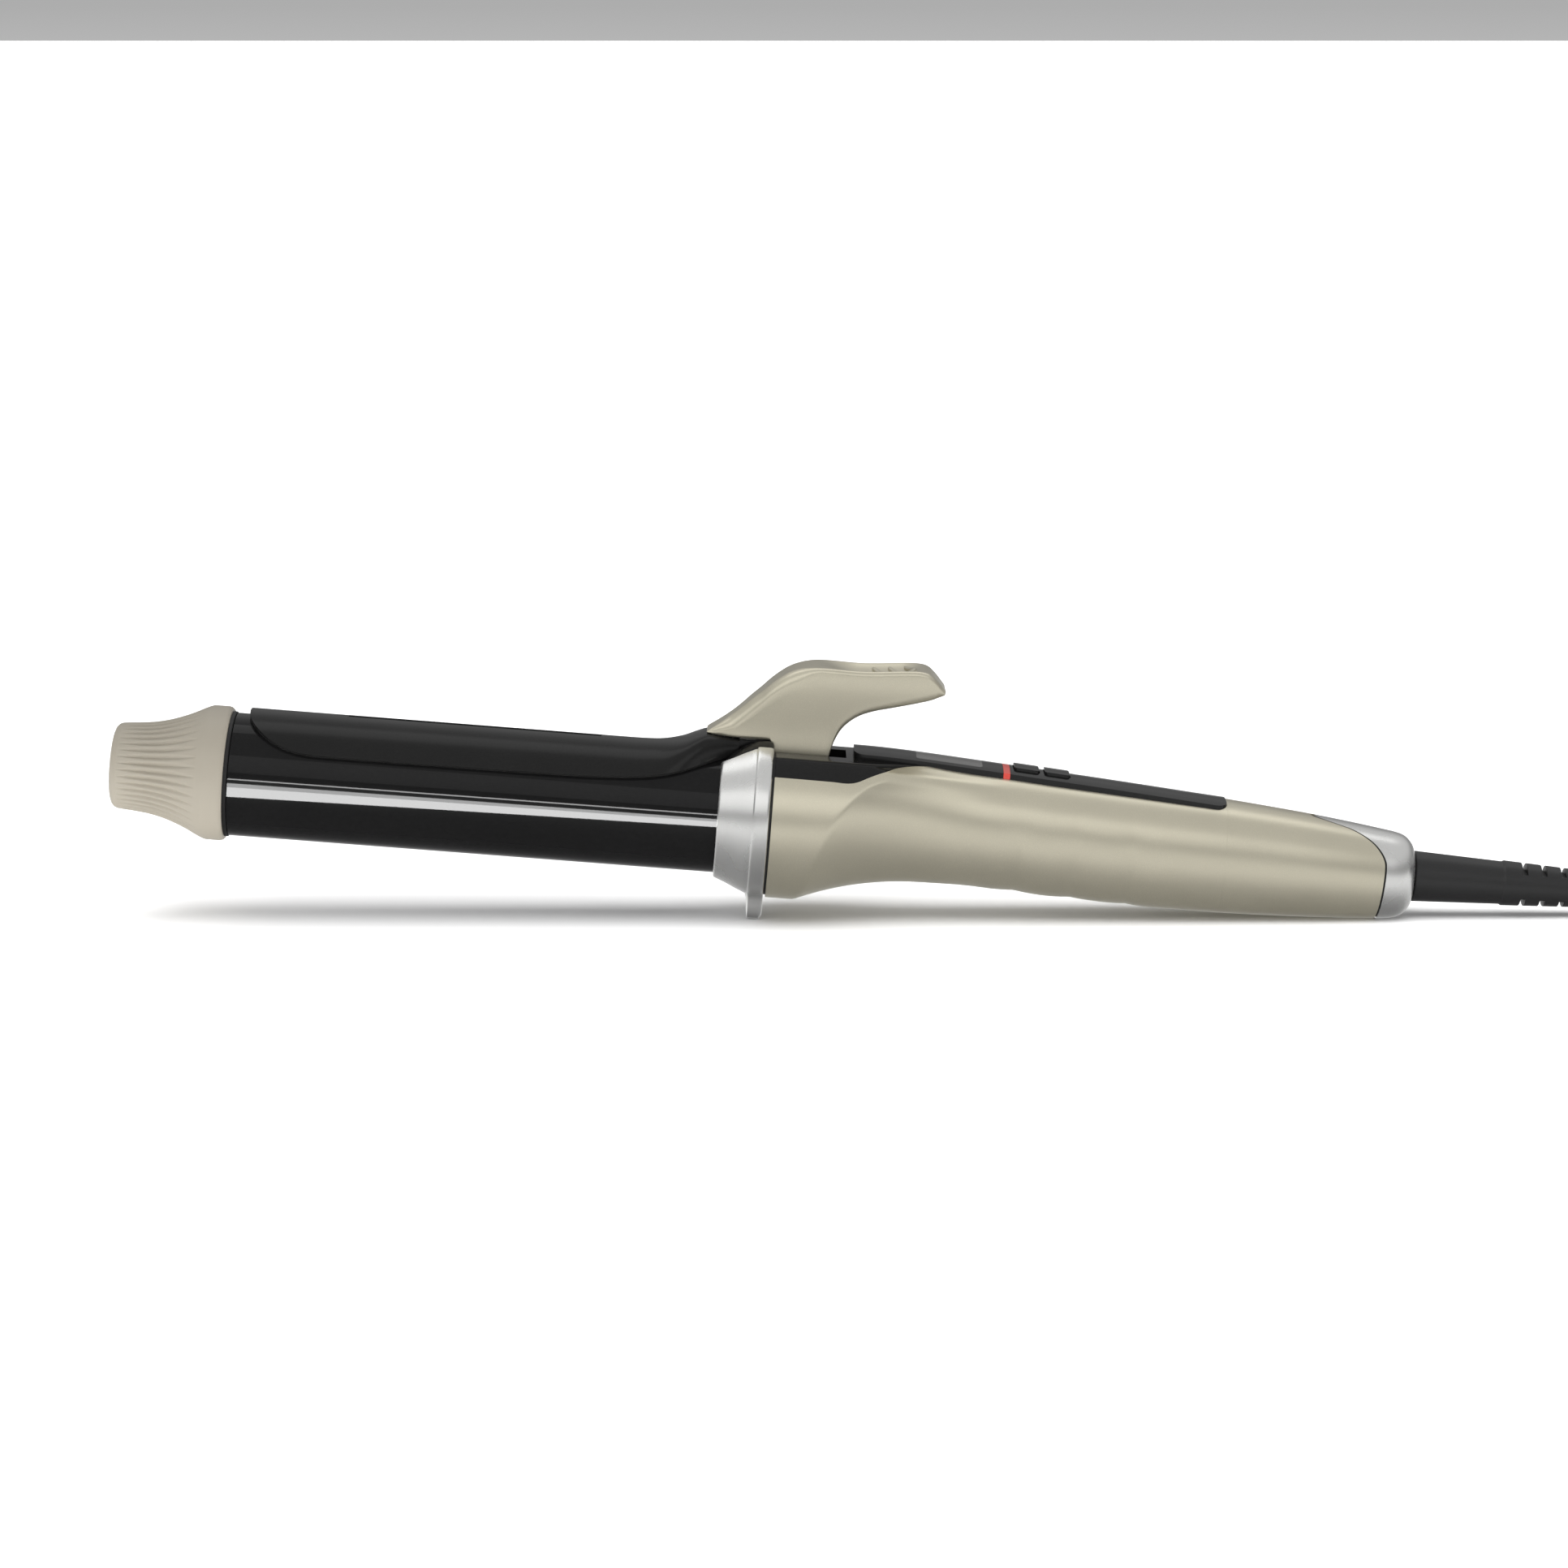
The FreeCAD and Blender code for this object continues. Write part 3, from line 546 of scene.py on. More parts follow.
@dataclass
class Studio:
    """Pale floor, soft lights and the camera. Lengths in metres."""

    distance: float = 1.147
    elevation: float = 10.0
    lens: float = 101.2
    aim: tuple[float, float, float] = (-0.0244, 0.0, 0.0349)
    sky_strength: float = 1.0
    floor_sun: float = 3.4
    sky: Profile = (
        (0.0, 0.14), (0.15, 0.28), (0.3, 0.62), (0.4, 1.0), (0.46, 0.85), (0.5, 0.42), (0.54, 0.24),
        (0.6, 0.2), (0.68, 0.4), (0.8, 0.6), (1.0, 0.62),
    )

    def build(self) -> None:
        """Sets up camera, floor, world and lights."""
        self.camera()
        self.view()
        floor = self.floor()
        self.world()
        self.only_on(self.sun(), floor)
        self.light("top_softbox", (-0.05, 0.25, 0.9), (0.0, 0.0, 0.03), (1.2, 0.35), 1.1)
        self.light("front_softbox", (-0.3, -0.9, 0.55), (0.0, 0.0, 0.03), (2.0, 0.6), 2.4)

    def only_on(self, lamp: bpy.types.Object, piece: bpy.types.Object) -> None:
        """Lets a light reach one piece and nothing else.

        Args:
            lamp: the light.
            piece: the piece.
        """
        lit = bpy.data.collections.new(f"lit_by_{lamp.name}")
        lit.objects.link(piece)
        lamp.light_linking.receiver_collection = lit

    def barrel_strips(self, barrel: bpy.types.Object) -> None:
        """Lays the white cards whose reflections are the bright lines along the barrel.

        Args:
            barrel: the only piece that they light.
        """
        up = (math.pi, 0.0, math.radians(-9.0))
        ahead = (math.radians(90.0), math.radians(-4.5), 0.0)
        cards = (
            ("near_card", (-0.12, -0.122, 0.0005), up, (0.4, 0.09), 5.5),
            ("far_card", (-0.15, -0.245, 0.0005), up, (0.5, 0.16), 6.6),
            ("horizon_card", (-0.1, -0.6, 0.056), ahead, (1.2, 0.02), 2.2),
        )
        for name, at, turn, size, power in cards:
            above = (at[0], at[1], 1.0)
            card = self.light(name, at, above, size, power)
            card.rotation_euler = turn
            card.visible_camera = False
            card.visible_diffuse = False
            self.only_on(card, barrel)

    def view(self) -> None:
        """Shows colours as they are, without a film look."""
        view = bpy.context.scene.view_settings
        view.view_transform = "Standard"
        view.look = "None"

    def camera(self) -> None:
        """Places the camera square to the iron, a little above it."""
        data = bpy.data.cameras.new("camera")
        data.lens = self.lens
        data.sensor_width = 36.0
        data.clip_start = 0.01
        made = bpy.data.objects.new("camera", data)
        bpy.context.scene.collection.objects.link(made)
        lift = math.radians(self.elevation)
        back = Vector((0.0, -math.cos(lift), math.sin(lift)))
        made.location = Vector(self.aim) + back * self.distance
        made.rotation_euler = (math.pi / 2 - lift, 0.0, 0.0)
        bpy.context.scene.camera = made

    def floor(self) -> bpy.types.Object:
        """Lays the pale floor.

        Returns:
            The floor.
        """
        bm = bmesh.new()
        bmesh.ops.create_grid(bm, x_segments=8, y_segments=8, size=30.0)
        mesh = bpy.data.meshes.new("studio_floor")
        bm.to_mesh(mesh)
        bm.free()
        made = bpy.data.objects.new("studio_floor", mesh)
        made.data.materials.append(FLOOR.make())
        made.visible_glossy = False
        bpy.context.scene.collection.objects.link(made)
        return made

    def world(self) -> None:
        """Fills the room with soft light, brightest a little below eye level and dim just above it."""
        world = bpy.data.worlds.new("studio")
        world.use_nodes = True
        nodes, links = world.node_tree.nodes, world.node_tree.links
        place = nodes.new("ShaderNodeTexCoord")
        split = nodes.new("ShaderNodeSeparateXYZ")
        links.new(place.outputs["Generated"], split.inputs["Vector"])
        height = nodes.new("ShaderNodeMapRange")
        height.inputs["From Min"].default_value = -1.0
        height.inputs["From Max"].default_value = 1.0
        links.new(split.outputs["Z"], height.inputs["Value"])
        ramp = nodes.new("ShaderNodeValToRGB")
        links.new(height.outputs["Result"], ramp.inputs["Fac"])
        stops = ramp.color_ramp.elements
        for position, grey in self.sky:
            at_end = position in (0.0, 1.0)
            stop = stops[round(position) * (len(stops) - 1)] if at_end else stops.new(position)
            stop.color = (grey, grey, grey, 1.0)
        links.new(ramp.outputs["Color"], nodes["Background"].inputs["Color"])
        nodes["Background"].inputs["Strength"].default_value = self.sky_strength
        bpy.context.scene.world = world

    def sun(self) -> bpy.types.Object:
        """Lights the whole floor evenly from above.

        Returns:
            The light.
        """
        data = bpy.data.lights.new("overhead", "SUN")
        data.energy = self.floor_sun
        data.angle = math.radians(64)
        made = bpy.data.objects.new("overhead", data)
        made.rotation_euler = (math.radians(12), 0.0, 0.0)
        bpy.context.scene.collection.objects.link(made)
        return made

    def light(
        self, name: str, at: Sequence[float], towards: Sequence[float], size: tuple[float, float],
        power: float,
    ) -> bpy.types.Object:
        """Hangs one soft rectangular light.

        Args:
            name: the light's name.
            at: where it hangs.
            towards: the point that it faces.
            size: its width and height.
            power: its power in watts.

        Returns:
            The light.
        """
        data = bpy.data.lights.new(name, "AREA")
        data.shape = "RECTANGLE"
        data.size, data.size_y = size
        data.energy = power
        made = bpy.data.objects.new(name, data)
        made.location = at
        aim = Vector(towards) - Vector(at)
        made.rotation_euler = aim.to_track_quat("-Z", "Y").to_euler()
        bpy.context.scene.collection.objects.link(made)
        return made


# -------------------------------------------------------------------- cool tip


@dataclass
class CoolTip:
    """Fluted cool tip and the heat seal behind it."""

    flutes: int = 40
    steps_per_flute: int = 14
    flute_depth: float = 0.72
    flute_from: float = -169.0
    flute_to: float = -148.2
    outline: Profile = (
        (-171.3, 0.0), (-171.25, 6.0), (-171.05, 9.3), (-170.7, 10.2), (-170.1, 10.85), (-169.3, 11.15),
        (-165.0, 11.55), (-161.0, 12.05), (-157.0, 13.0), (-153.4, 14.25), (-150.5, 15.5), (-148.0, 16.75),
        (-146.9, 17.2), (-146.2, 17.45), (-145.4, 17.5), (-142.2, 17.5), (-141.5, 17.3), (-141.05, 16.9),
        (-141.0, 16.5), (-141.0, 14.7), (-131.0, 14.7), (-131.0, 0.0),
    )
    seal_outline: Profile = (
        (-141.0, 14.75), (-141.0, 16.3), (-140.2, 16.3), (-140.0, 16.1), (-140.0, 14.75),
    )

    def radius(self, profile_r: float, x: float, turn: float) -> float:
        """Radius of the tip where the flutes cut into it.

        Args:
            profile_r: the plain radius at x.
            x: place along the tip.
            turn: angle round it.

        Returns:
            The radius with the flute taken out.
        """
        if not self.flute_from < x < self.flute_to:
            return profile_r
        t = (x - self.flute_from) / (self.flute_to - self.flute_from)
        lens = math.sin(math.pi * t) ** 0.8
        phase = (turn * self.flutes / (2 * math.pi)) % 1.0 - 0.5
        width = 0.06 + 0.2 * lens
        cut = math.exp(-((phase / width) ** 2))
        return profile_r - self.flute_depth * lens * cut

    def build(self, make: Builder) -> None:
        """Makes the tip and the seal.

        Args:
            make: the builder.
        """
        head = [p for p in self.outline if p[0] < self.flute_from]
        tail = [p for p in self.outline if p[0] > self.flute_to]
        plain = [p for p in self.outline if p[1] > 10.0 and p[0] < -141.4]
        fine = [(x, table_lookup(plain, x)) for x in spread(self.flute_from, self.flute_to, 44)]
        around = self.flutes * self.steps_per_flute
        rings = []
        for x, r in [*head, *fine, *tail]:
            ring = []
            for step in range(around):
                turn = 2 * math.pi * step / around
                radius = max(self.radius(r, x, turn), 0.0)
                ring.append(Vector((x, radius * math.sin(turn), radius * math.cos(turn))))
            rings.append(ring)
        cap = make.tube("tip_cap_fluted", rings)
        make.finish(cap, CREAM, Body.ROOT, "cream_tip", "tip_cap")
        seal = make.spun("tip_seal_ring", self.seal_outline)
        make.finish(seal, SEAL, Body.ROOT, "black_seal", "tip_heat_seal")


@dataclass
class Barrel:
    """Heated barrel tube."""

    radius: float = 16.0
    wall: float = 1.2
    front_x: float = -140.0
    rear_x: float = -1.0

    def build(self, make: Builder) -> bpy.types.Object:
        """Makes the tube with softened ends, and hands it back.

        Args:
            make: the builder.

        Returns:
            The tube.
        """
        bore = self.radius - self.wall
        soft = 0.25
        stations = [self.front_x + soft]
        stations += spread(self.front_x + 4, self.rear_x - 4, 18) + [self.rear_x - soft]
        outline = [(self.front_x, bore), (self.front_x, self.radius - soft)]
        outline += [(x, self.radius) for x in stations]
        outline += [(self.rear_x, self.radius - soft), (self.rear_x, bore)]
        tube = make.spun("barrel_coated_tube", outline, segments=256)
        return make.finish(tube, BARREL_COAT, Body.ROOT, "barrel_black", "barrel_tube")


# ----------------------------------------------------------------------- clamp


@dataclass
class Clamp:
    """Clamp plate with its root, and the neck that goes down to the hinge."""

    radius: float = 17.6
    barrel_gap: float = 16.22
    strip_half: float = 2.1
    strip_depth: float = 0.3
    strip_from: float = -111.0
    strip_to: float = -45.5
    root_from: float = -40.0
    square_from: float = -31.0
    square_over: float = 13.0
    square_power: float = 0.56
    least_wall: float = 0.15
    neck_half: float = 4.15
    edge_height: Profile = (
        (-136.3, 17.45), (-136.0, 16.9), (-135.2, 15.9), (-133.2, 14.2), (-131.0, 12.7), (-128.6, 11.4),
        (-125.5, 10.2), (-122.1, 9.45), (-116.0, 9.1), (-53.3, 9.3), (-40.0, 9.8), (-34.0, 10.3),
        (-29.0, 10.9), (-24.0, 12.0), (-19.0, 13.7), (-14.5, 15.7), (-11.5, 16.7), (-9.5, 17.1),
    )
    root_half: Profile = (
        (-40.0, 14.65), (-34.0, 14.25), (-29.0, 13.5), (-24.0, 12.2), (-19.0, 10.0), (-14.5, 7.7),
        (-11.5, 6.2), (-9.5, 5.6),
    )
    crest: Profile = (
        (-40.0, 17.6), (-34.0, 17.65), (-29.0, 17.95), (-24.0, 18.9), (-20.5, 20.3), (-18.0, 21.2),
        (-14.5, 21.0), (-9.5, 20.5),
    )
    neck: Profile = (
        (-10.5, 16.45), (-0.9, 16.45), (1.9, 14.3), (3.5, 13.0), (3.9, 11.6), (5.2, 10.2), (7.5, 9.5),
        (9.8, 10.2), (11.1, 11.6), (11.5, 13.5), (12.4, 16.6), (12.4, 20.0), (-10.5, 20.0),
    )

    def section(self, x: float) -> tuple[float, float, float]:
        """Half width, edge height and crest of the plate at x.

        Args:
            x: place along the iron.

        Returns:
            Half width, edge height and crest.
        """
        edge = table_lookup(self.edge_height, x)
        if x < self.root_from:
            return math.sqrt(max(self.radius**2 - edge**2, 0.01)), edge, self.radius
        return table_lookup(self.root_half, x), edge, table_lookup(self.crest, x)

    def plate_rows(self) -> tuple[list[Row], list[Row]]:
        """Rows over the outside and the inside of the plate.

        Returns:
            The outer rows and the inner rows.
        """
        xs = [-136.3, -136.15, -136.0, -135.6, -135.2, -134.5, -133.8] + spread(-133.0, -116.0, 18)
        xs += spread(-114.0, self.strip_from - 0.35, 3) + spread(self.strip_from, self.strip_to, 24)
        xs += [self.strip_to + 0.35] + spread(-44.5, -9.5, 44)
        outer, inner = [], []
        for x in xs:
            half, edge, crest = self.section(x)
            high = crest - edge
            bend = (half * half + high * high) / (2 * high)
            reach = math.atan2(half, bend - high)
            centre = crest - bend
            square = ease((x - self.square_from) / self.square_over)
            marks = [self.strip_half * k for k in (1.0, 0.92)] if half > 3.0 else [half * 0.5, half * 0.45]
            stops = [math.asin(min(1.0, m / bend)) for m in marks]
            side = spread(reach, stops[0] + 0.02, 15)
            angles = side + stops + [stops[1] * 0.5, 0.0]
            angles = angles + [-a for a in reversed(angles[:-1])]
            over, under = [], []
            for angle in angles:
                y, z = bend * math.sin(angle), centre + bend * math.cos(angle)
                if square > 0:
                    share = angle / reach * math.pi / 2
                    full_y = half * math.copysign(abs(math.sin(share)) ** self.square_power, share)
                    full_z = edge + high * math.cos(share) ** self.square_power
                    y, z = y + (full_y - y) * square, z + (full_z - z) * square
                away = math.hypot(y, z)
                grooved = self.strip_from <= x <= self.strip_to and abs(angle) <= stops[1] + 1e-6
                sunk = self.strip_depth if grooved else 0.0
                over.append(Vector((x, y, z - sunk)))
                floor = min(self.barrel_gap, away - self.least_wall)
                under.append(Vector((x, y / away * floor, z / away * floor)))
            outer.append(over)
            inner.append(under)
        return outer, inner

    def build(self, make: Builder) -> None:
        """Makes the plate and the neck.

        Args:
            make: the builder.
        """
        outer, inner = self.plate_rows()
        plate = make.shell("clamp_plate_coated", outer, inner)
        make.finish(plate, CLAMP_COAT, Body.CLAMP, "clamp_black", "clamp_plate", bevel_mm=0.22)
        neck = make.prism("clamp_neck", self.neck, self.neck_half)
        make.finish(neck, CLAMP_COAT, Body.CLAMP, "clamp_black", bevel_mm=0.3)


@dataclass
class ThumbLever:
    """Thumb lever: a hollowed pad on a swept neck, with three raised chevrons."""

    lower: Profile = (
        (-17.6, 21.35), (-16.5, 21.0), (-14.7, 20.75), (-12.0, 20.6), (-9.0, 20.5), (-5.5, 20.5),
        (-2.4, 20.45), (-1.2, 20.2), (-0.75, 19.2), (-0.6, 17.5), (-0.3, 16.1), (1.2, 15.8),
        (4.0, 15.8), (7.0, 15.8), (10.0, 15.8), (12.6, 15.8), (13.55, 16.3), (14.1, 18.4), (14.9, 21.3),
        (16.2, 24.2), (17.6, 26.1), (19.3, 27.7), (21.3, 29.0), (23.4, 29.9), (26.0, 30.75),
        (29.5, 31.65), (33.0, 32.6), (36.5, 33.6), (39.3, 34.5), (41.2, 35.3), (42.4, 36.0),
    )
    upper: Profile = (
        (-18.1, 21.5), (-17.3, 22.2), (-16.2, 23.0), (-14.6, 24.2), (-12.8, 25.7), (-10.8, 27.4),
        (-8.8, 29.3), (-7.3, 30.8), (-6.1, 31.9), (-4.7, 33.2), (-3.3, 34.6), (-1.8, 36.0),
        (-0.2, 37.3), (1.5, 38.5), (3.2, 39.4), (5.0, 40.05), (6.9, 40.45), (9.0, 40.7), (11.2, 40.8),
        (13.5, 40.8), (16.0, 40.75), (18.6, 40.7), (21.2, 40.75), (23.8, 40.9), (26.6, 41.15),
        (29.6, 41.45), (32.6, 41.7), (35.4, 41.8), (38.0, 41.3), (40.4, 39.4), (42.6, 36.9),
    )
    half_by_height: Profile = (
        (15.0, 5.5), (20.0, 5.5), (23.0, 5.8), (27.0, 6.6), (31.0, 7.5), (35.0, 8.3), (38.0, 8.6),
        (42.0, 8.6),
    )
    dish_from: float = 8.4
    dish_to: float = 37.6
    dish_depth: float = 2.0
    dish_front: float = 0.42
    dish_rear: float = 0.24
    rim_half: float = 7.5
    chevrons: tuple[float, ...] = (24.9, 29.0, 33.1)
    chevron_radius: float = 0.72
    chevron_half: float = 5.4
    chevron_bow: float = 2.3
    chevron_point: float = 0.035
    chevron_stops: int = 25

    def dish(self, x: float, y: float) -> float:
        """Depth of the thumb hollow at a place on the pad.

        Args:
            x: place along the iron.
            y: place across it.

        Returns:
            The depth.
        """
        if not self.dish_from < x < self.dish_to:
            return 0.0
        t = (x - self.dish_from) / (self.dish_to - self.dish_from)
        run = ease(t / self.dish_front) * ease((1.0 - t) / self.dish_rear)
        across = max(0.0, 1.0 - (abs(y) / self.rim_half) ** 2.2)
        return self.dish_depth * run * across

    def rib(self, low: tuple[float, float], high: tuple[float, float]) -> Row:
        """One closed ring of the lever, from its underside to its top.

        Args:
            low: (x, z) of the underside.
            high: (x, z) of the top.

        Returns:
            The ring's points.
        """
        base, top = Vector((low[0], 0.0, low[1])), Vector((high[0], 0.0, high[1]))
        tall = (top - base).length
        up = (top - base).normalized() if tall > 1e-6 else Vector((0, 0, 1))
        end = ease((42.9 - high[0]) / 5.0)
        nose = ease((high[0] + 19.0) / 5.0)
        slim_top = (0.8 + 0.2 * end) * (0.8 + 0.2 * nose)
        slim_low = 0.84 + 0.16 * ease((43.6 - low[0]) / 6.0)
        pad = ease((high[0] - 3.0) / 7.0)

        def half_at(h: float) -> float:
            """Half width of the lever at a height on this ring.

            Args:
                h: height above the ring's underside.

            Returns:
                The half width.
            """
            share = h / tall
            slim = slim_low + (slim_top - slim_low) * share
            return table_lookup(self.half_by_height, base.z + up.z * h) * slim

        soft_low = min(0.7 + 1.2 * ease((low[1] - 17) / 8), 0.4 * tall)
        soft_top = min(3.0 - 1.7 * pad, 0.45 * tall)
        wide_low, wide_top = half_at(soft_low), half_at(tall - soft_top)
        points: list[tuple[float, float]] = [(y, 0.0) for y in spread(0.0, wide_low - soft_low, 4)[:-1]]
        for turn in spread(-90.0, 0.0, 6):
            a = math.radians(turn)
            points.append((wide_low - soft_low + soft_low * math.cos(a), soft_low + soft_low * math.sin(a)))
        for t in spread(0.0, 1.0, 9)[1:-1]:
            h = soft_low + (tall - soft_top - soft_low) * t
            points.append((half_at(h), h))
        for turn in spread(0.0, 90.0, 9):
            a = math.radians(turn)
            across, up_by = soft_top * math.cos(a), soft_top * math.sin(a)
            points.append((wide_top - soft_top + across, tall - soft_top + up_by))
        points += [(y, tall) for y in spread(wide_top - soft_top, 0.0, 14)[1:]]
        ring = []
        for y, h in points:
            place = base + up * h
            sunk = self.dish(place.x, y) if h > tall * 0.6 else 0.0
            ring.append(Vector((place.x, y, place.z - sunk)))
        mirrored = [Vector((p.x, -p.y, p.z)) for p in reversed(ring[1:-1])]
        return ring + mirrored

    def build(self, make: Builder) -> None:
        """Makes the lever body and its chevrons.

        Args:
            make: the builder.
        """
        steps = 5 * (len(self.lower) - 1)
        marks = spread(0.0, len(self.lower) - 1.0, steps + 1)
        number = [float(i) for i in range(len(self.lower))]

        def along(points: Profile, mark: float) -> tuple[float, float]:
            """Reads an outline at a rib's mark.

            Args:
                points: the outline.
                mark: the rib's place, counted in points.

            Returns:
                The (x, z) there.
            """
            xs = [(n, p[0]) for n, p in zip(number, points)]
            zs = [(n, p[1]) for n, p in zip(number, points)]
            return table_lookup(xs, mark), table_lookup(zs, mark)

        rings = [self.rib(along(self.lower, m), along(self.upper, m)) for m in marks]
        lever = make.tube("thumb_lever_body", rings)
        make.finish(lever, CHAMPAGNE, Body.CLAMP, "champagne", "thumb_lever")
        for number_of, x in enumerate(self.chevrons, 1):
            self.chevron(make, number_of, x)

    def chevron(self, make: Builder, number: int, x: float) -> None:
        """Raises one chevron in the hollow.

        Args:
            make: the builder.
            number: which one.
            x: place of its point.
        """
        last = self.chevron_stops - 1
        soft = self.chevron_point
        arms = []
        for t in spread(-1.0, 1.0, self.chevron_stops):
            y = self.chevron_half * t
            bend = 1.0 - math.sqrt(t * t + soft) / math.sqrt(1.0 + soft)
            bow = self.chevron_bow * bend / (1.0 - math.sqrt(soft / (1.0 + soft)))
            px = x - 1.2 + bow
            top = table_lookup(self.upper, px)
            arms.append(Vector((px, y, top - self.dish(px, y) + 0.12)))
        rings = []
        for i, p in enumerate(arms):
            way = (arms[min(i + 1, last)] - arms[max(i - 1, 0)]).normalized()
            flat = way.cross(Vector((0, 0, 1))).normalized()
            blunt = 1.0 - (abs(i - last // 2) / (last / 2)) ** 8
            size = self.chevron_radius * math.sqrt(max(0.0, blunt)) + 0.02
            rings.append([
                p + (flat * math.cos(a) + Vector((0, 0, 1)) * 0.8 * math.sin(a)) * size
                for a in (2 * math.pi * s / 16 for s in range(16))
            ])
        ridge = make.tube(f"lever_chevron_{number}", rings)
        make.finish(ridge, CHAMPAGNE, Body.CLAMP, "champagne")


# ---------------------------------------------------------------------- collar


@dataclass
class Collar:
    """Chrome collar with its stand foot, the slot's black cheeks and the gasket behind."""

    band_radius: float = 21.3
    notch_half: float = 9.05
    foot_angle: float = 31.0
    wall: float = 1.0
    bore: float = 19.1
    nose_bore: float = 16.2
    nose_to: float = -13.0
    outline: Profile = (
        (-13.75, 16.45), (-13.7, 16.85), (-13.5, 17.15), (-13.1, 17.35), (-10.5, 18.35), (-8.0, 19.5),
        (-6.0, 20.35), (-5.1, 20.72), (-4.75, 20.8), (-4.55, 20.95), (-4.4, 21.15), (-4.1, 21.28),
        (-3.6, 21.3), (-1.2, 21.3), (-0.75, 21.22), (-0.45, 21.0), (-0.33, 20.7),
    )
    tongue: Profile = (
        (0.0, 26.85), (6.0, 26.98), (10.0, 27.15), (12.0, 27.05), (13.8, 26.6), (15.6, 25.7), (17.4, 24.6),
        (19.5, 23.3), (22.0, 22.1), (25.0, 21.45), (29.0, 21.3),
    )
    cheek_crest: Profile = (
        (-12.9, 16.9), (-12.2, 17.5), (-10.0, 18.6), (-8.0, 19.6), (-6.0, 20.5), (-4.5, 21.0),
        (-2.0, 21.25), (-1.1, 21.1), (-0.6, 20.7), (-0.35, 20.1),
    )

    def outside(self, x: float, radius: float, low: float) -> float:
        """Radius of the collar where the foot grows out of it.

        Args:
            x: place along the iron.
            radius: the plain radius there.
            low: degrees round from the lowest line.

        Returns:
            The radius.
        """
        grow = table_lookup(self.tongue, low) - self.band_radius
        front = ease((x + 5.0) / 0.9)
        rear = 1.0 - 0.12 * ease((x + 1.2) / 0.9)
        return radius + grow * front * rear

    def build(self, make: Builder) -> None:
        """Makes the collar, the cheeks and the gasket.

        Args:
            make: the builder.
        """
        outer, inner = [], []
        for x, radius in self.outline:
            edge = math.asin(self.notch_half / radius)
            foot = self.foot_angle
            turns = spread(edge, math.radians(180.0 - foot - 1.0), 60)
            turns += spread(math.radians(180.0 - foot), math.radians(180.0 + foot), 94)
            turns += spread(math.radians(180.0 + foot + 1.0), 2 * math.pi - edge, 60)
            bore = self.nose_bore if x < self.nose_to else min(radius - self.wall, self.bore)
            over, under = [], []
            for turn in turns:
                low = abs(math.degrees(turn) - 180.0)
                r = self.outside(x, radius, low)
                over.append(Vector((x, r * math.sin(turn), r * math.cos(turn))))
                under.append(Vector((x, bore * math.sin(turn), bore * math.cos(turn))))
            outer.append(over)
            inner.append(under)
        for row in outer:
            for p in row:
                self.stand(make, p)
        ring = make.shell("stand_collar_chrome", outer, inner)
        make.finish(ring, SATIN_CHROME, Body.ROOT, "satin_chrome", "stand_collar", bevel_mm=0.2)
        self.cheeks(make)
        gasket = make.from_node("collar_gasket", "collar_gasket_ring")
        make.finish(gasket, SEAL, Body.ROOT, "black_seal", "collar_gasket")

    def stand(self, make: Builder, p: Vector) -> None:
        """Keeps a point of the foot from going through the table.

        Args:
            make: the builder.
            p: the point; it is lifted in place.
        """
        placed = make.tool.place(p)
        if placed.z < 0.0:
            p.z -= placed.z / MM / math.cos(make.tool.tilt)

    def cheeks(self, make: Builder) -> None:
        """Makes the black cheeks either side of the lever's slot, with their rounded rear corner.

        Args:
            make: the builder.
        """
        for side, name in ((-1, "near"), (1, "far")):
            outer, inner = [], []
            for x, radius in self.cheek_crest:
                inside = 6.12 + 2.4 * ease((-8.4 - x) / 4.5)
                over, under = [], []
                for y in spread(inside, self.notch_half - 0.05, 9):
                    r = radius + 0.12
                    over.append(Vector((x, side * y, math.sqrt(r * r - y * y))))
                    under.append(Vector((x, side * y, math.sqrt(self.nose_bore**2 - y * y))))
                outer.append(over)
                inner.append(under)
            cheek = make.shell(f"slot_cheek_{name}", outer, inner)
            nodes = ("slot_cheeks",) if side < 0 else ()
            make.finish(cheek, GLOSS_BLACK, Body.ROOT, "gloss_black", *nodes, bevel_mm=0.35)


# ---------------------------------------------------------------------- handle


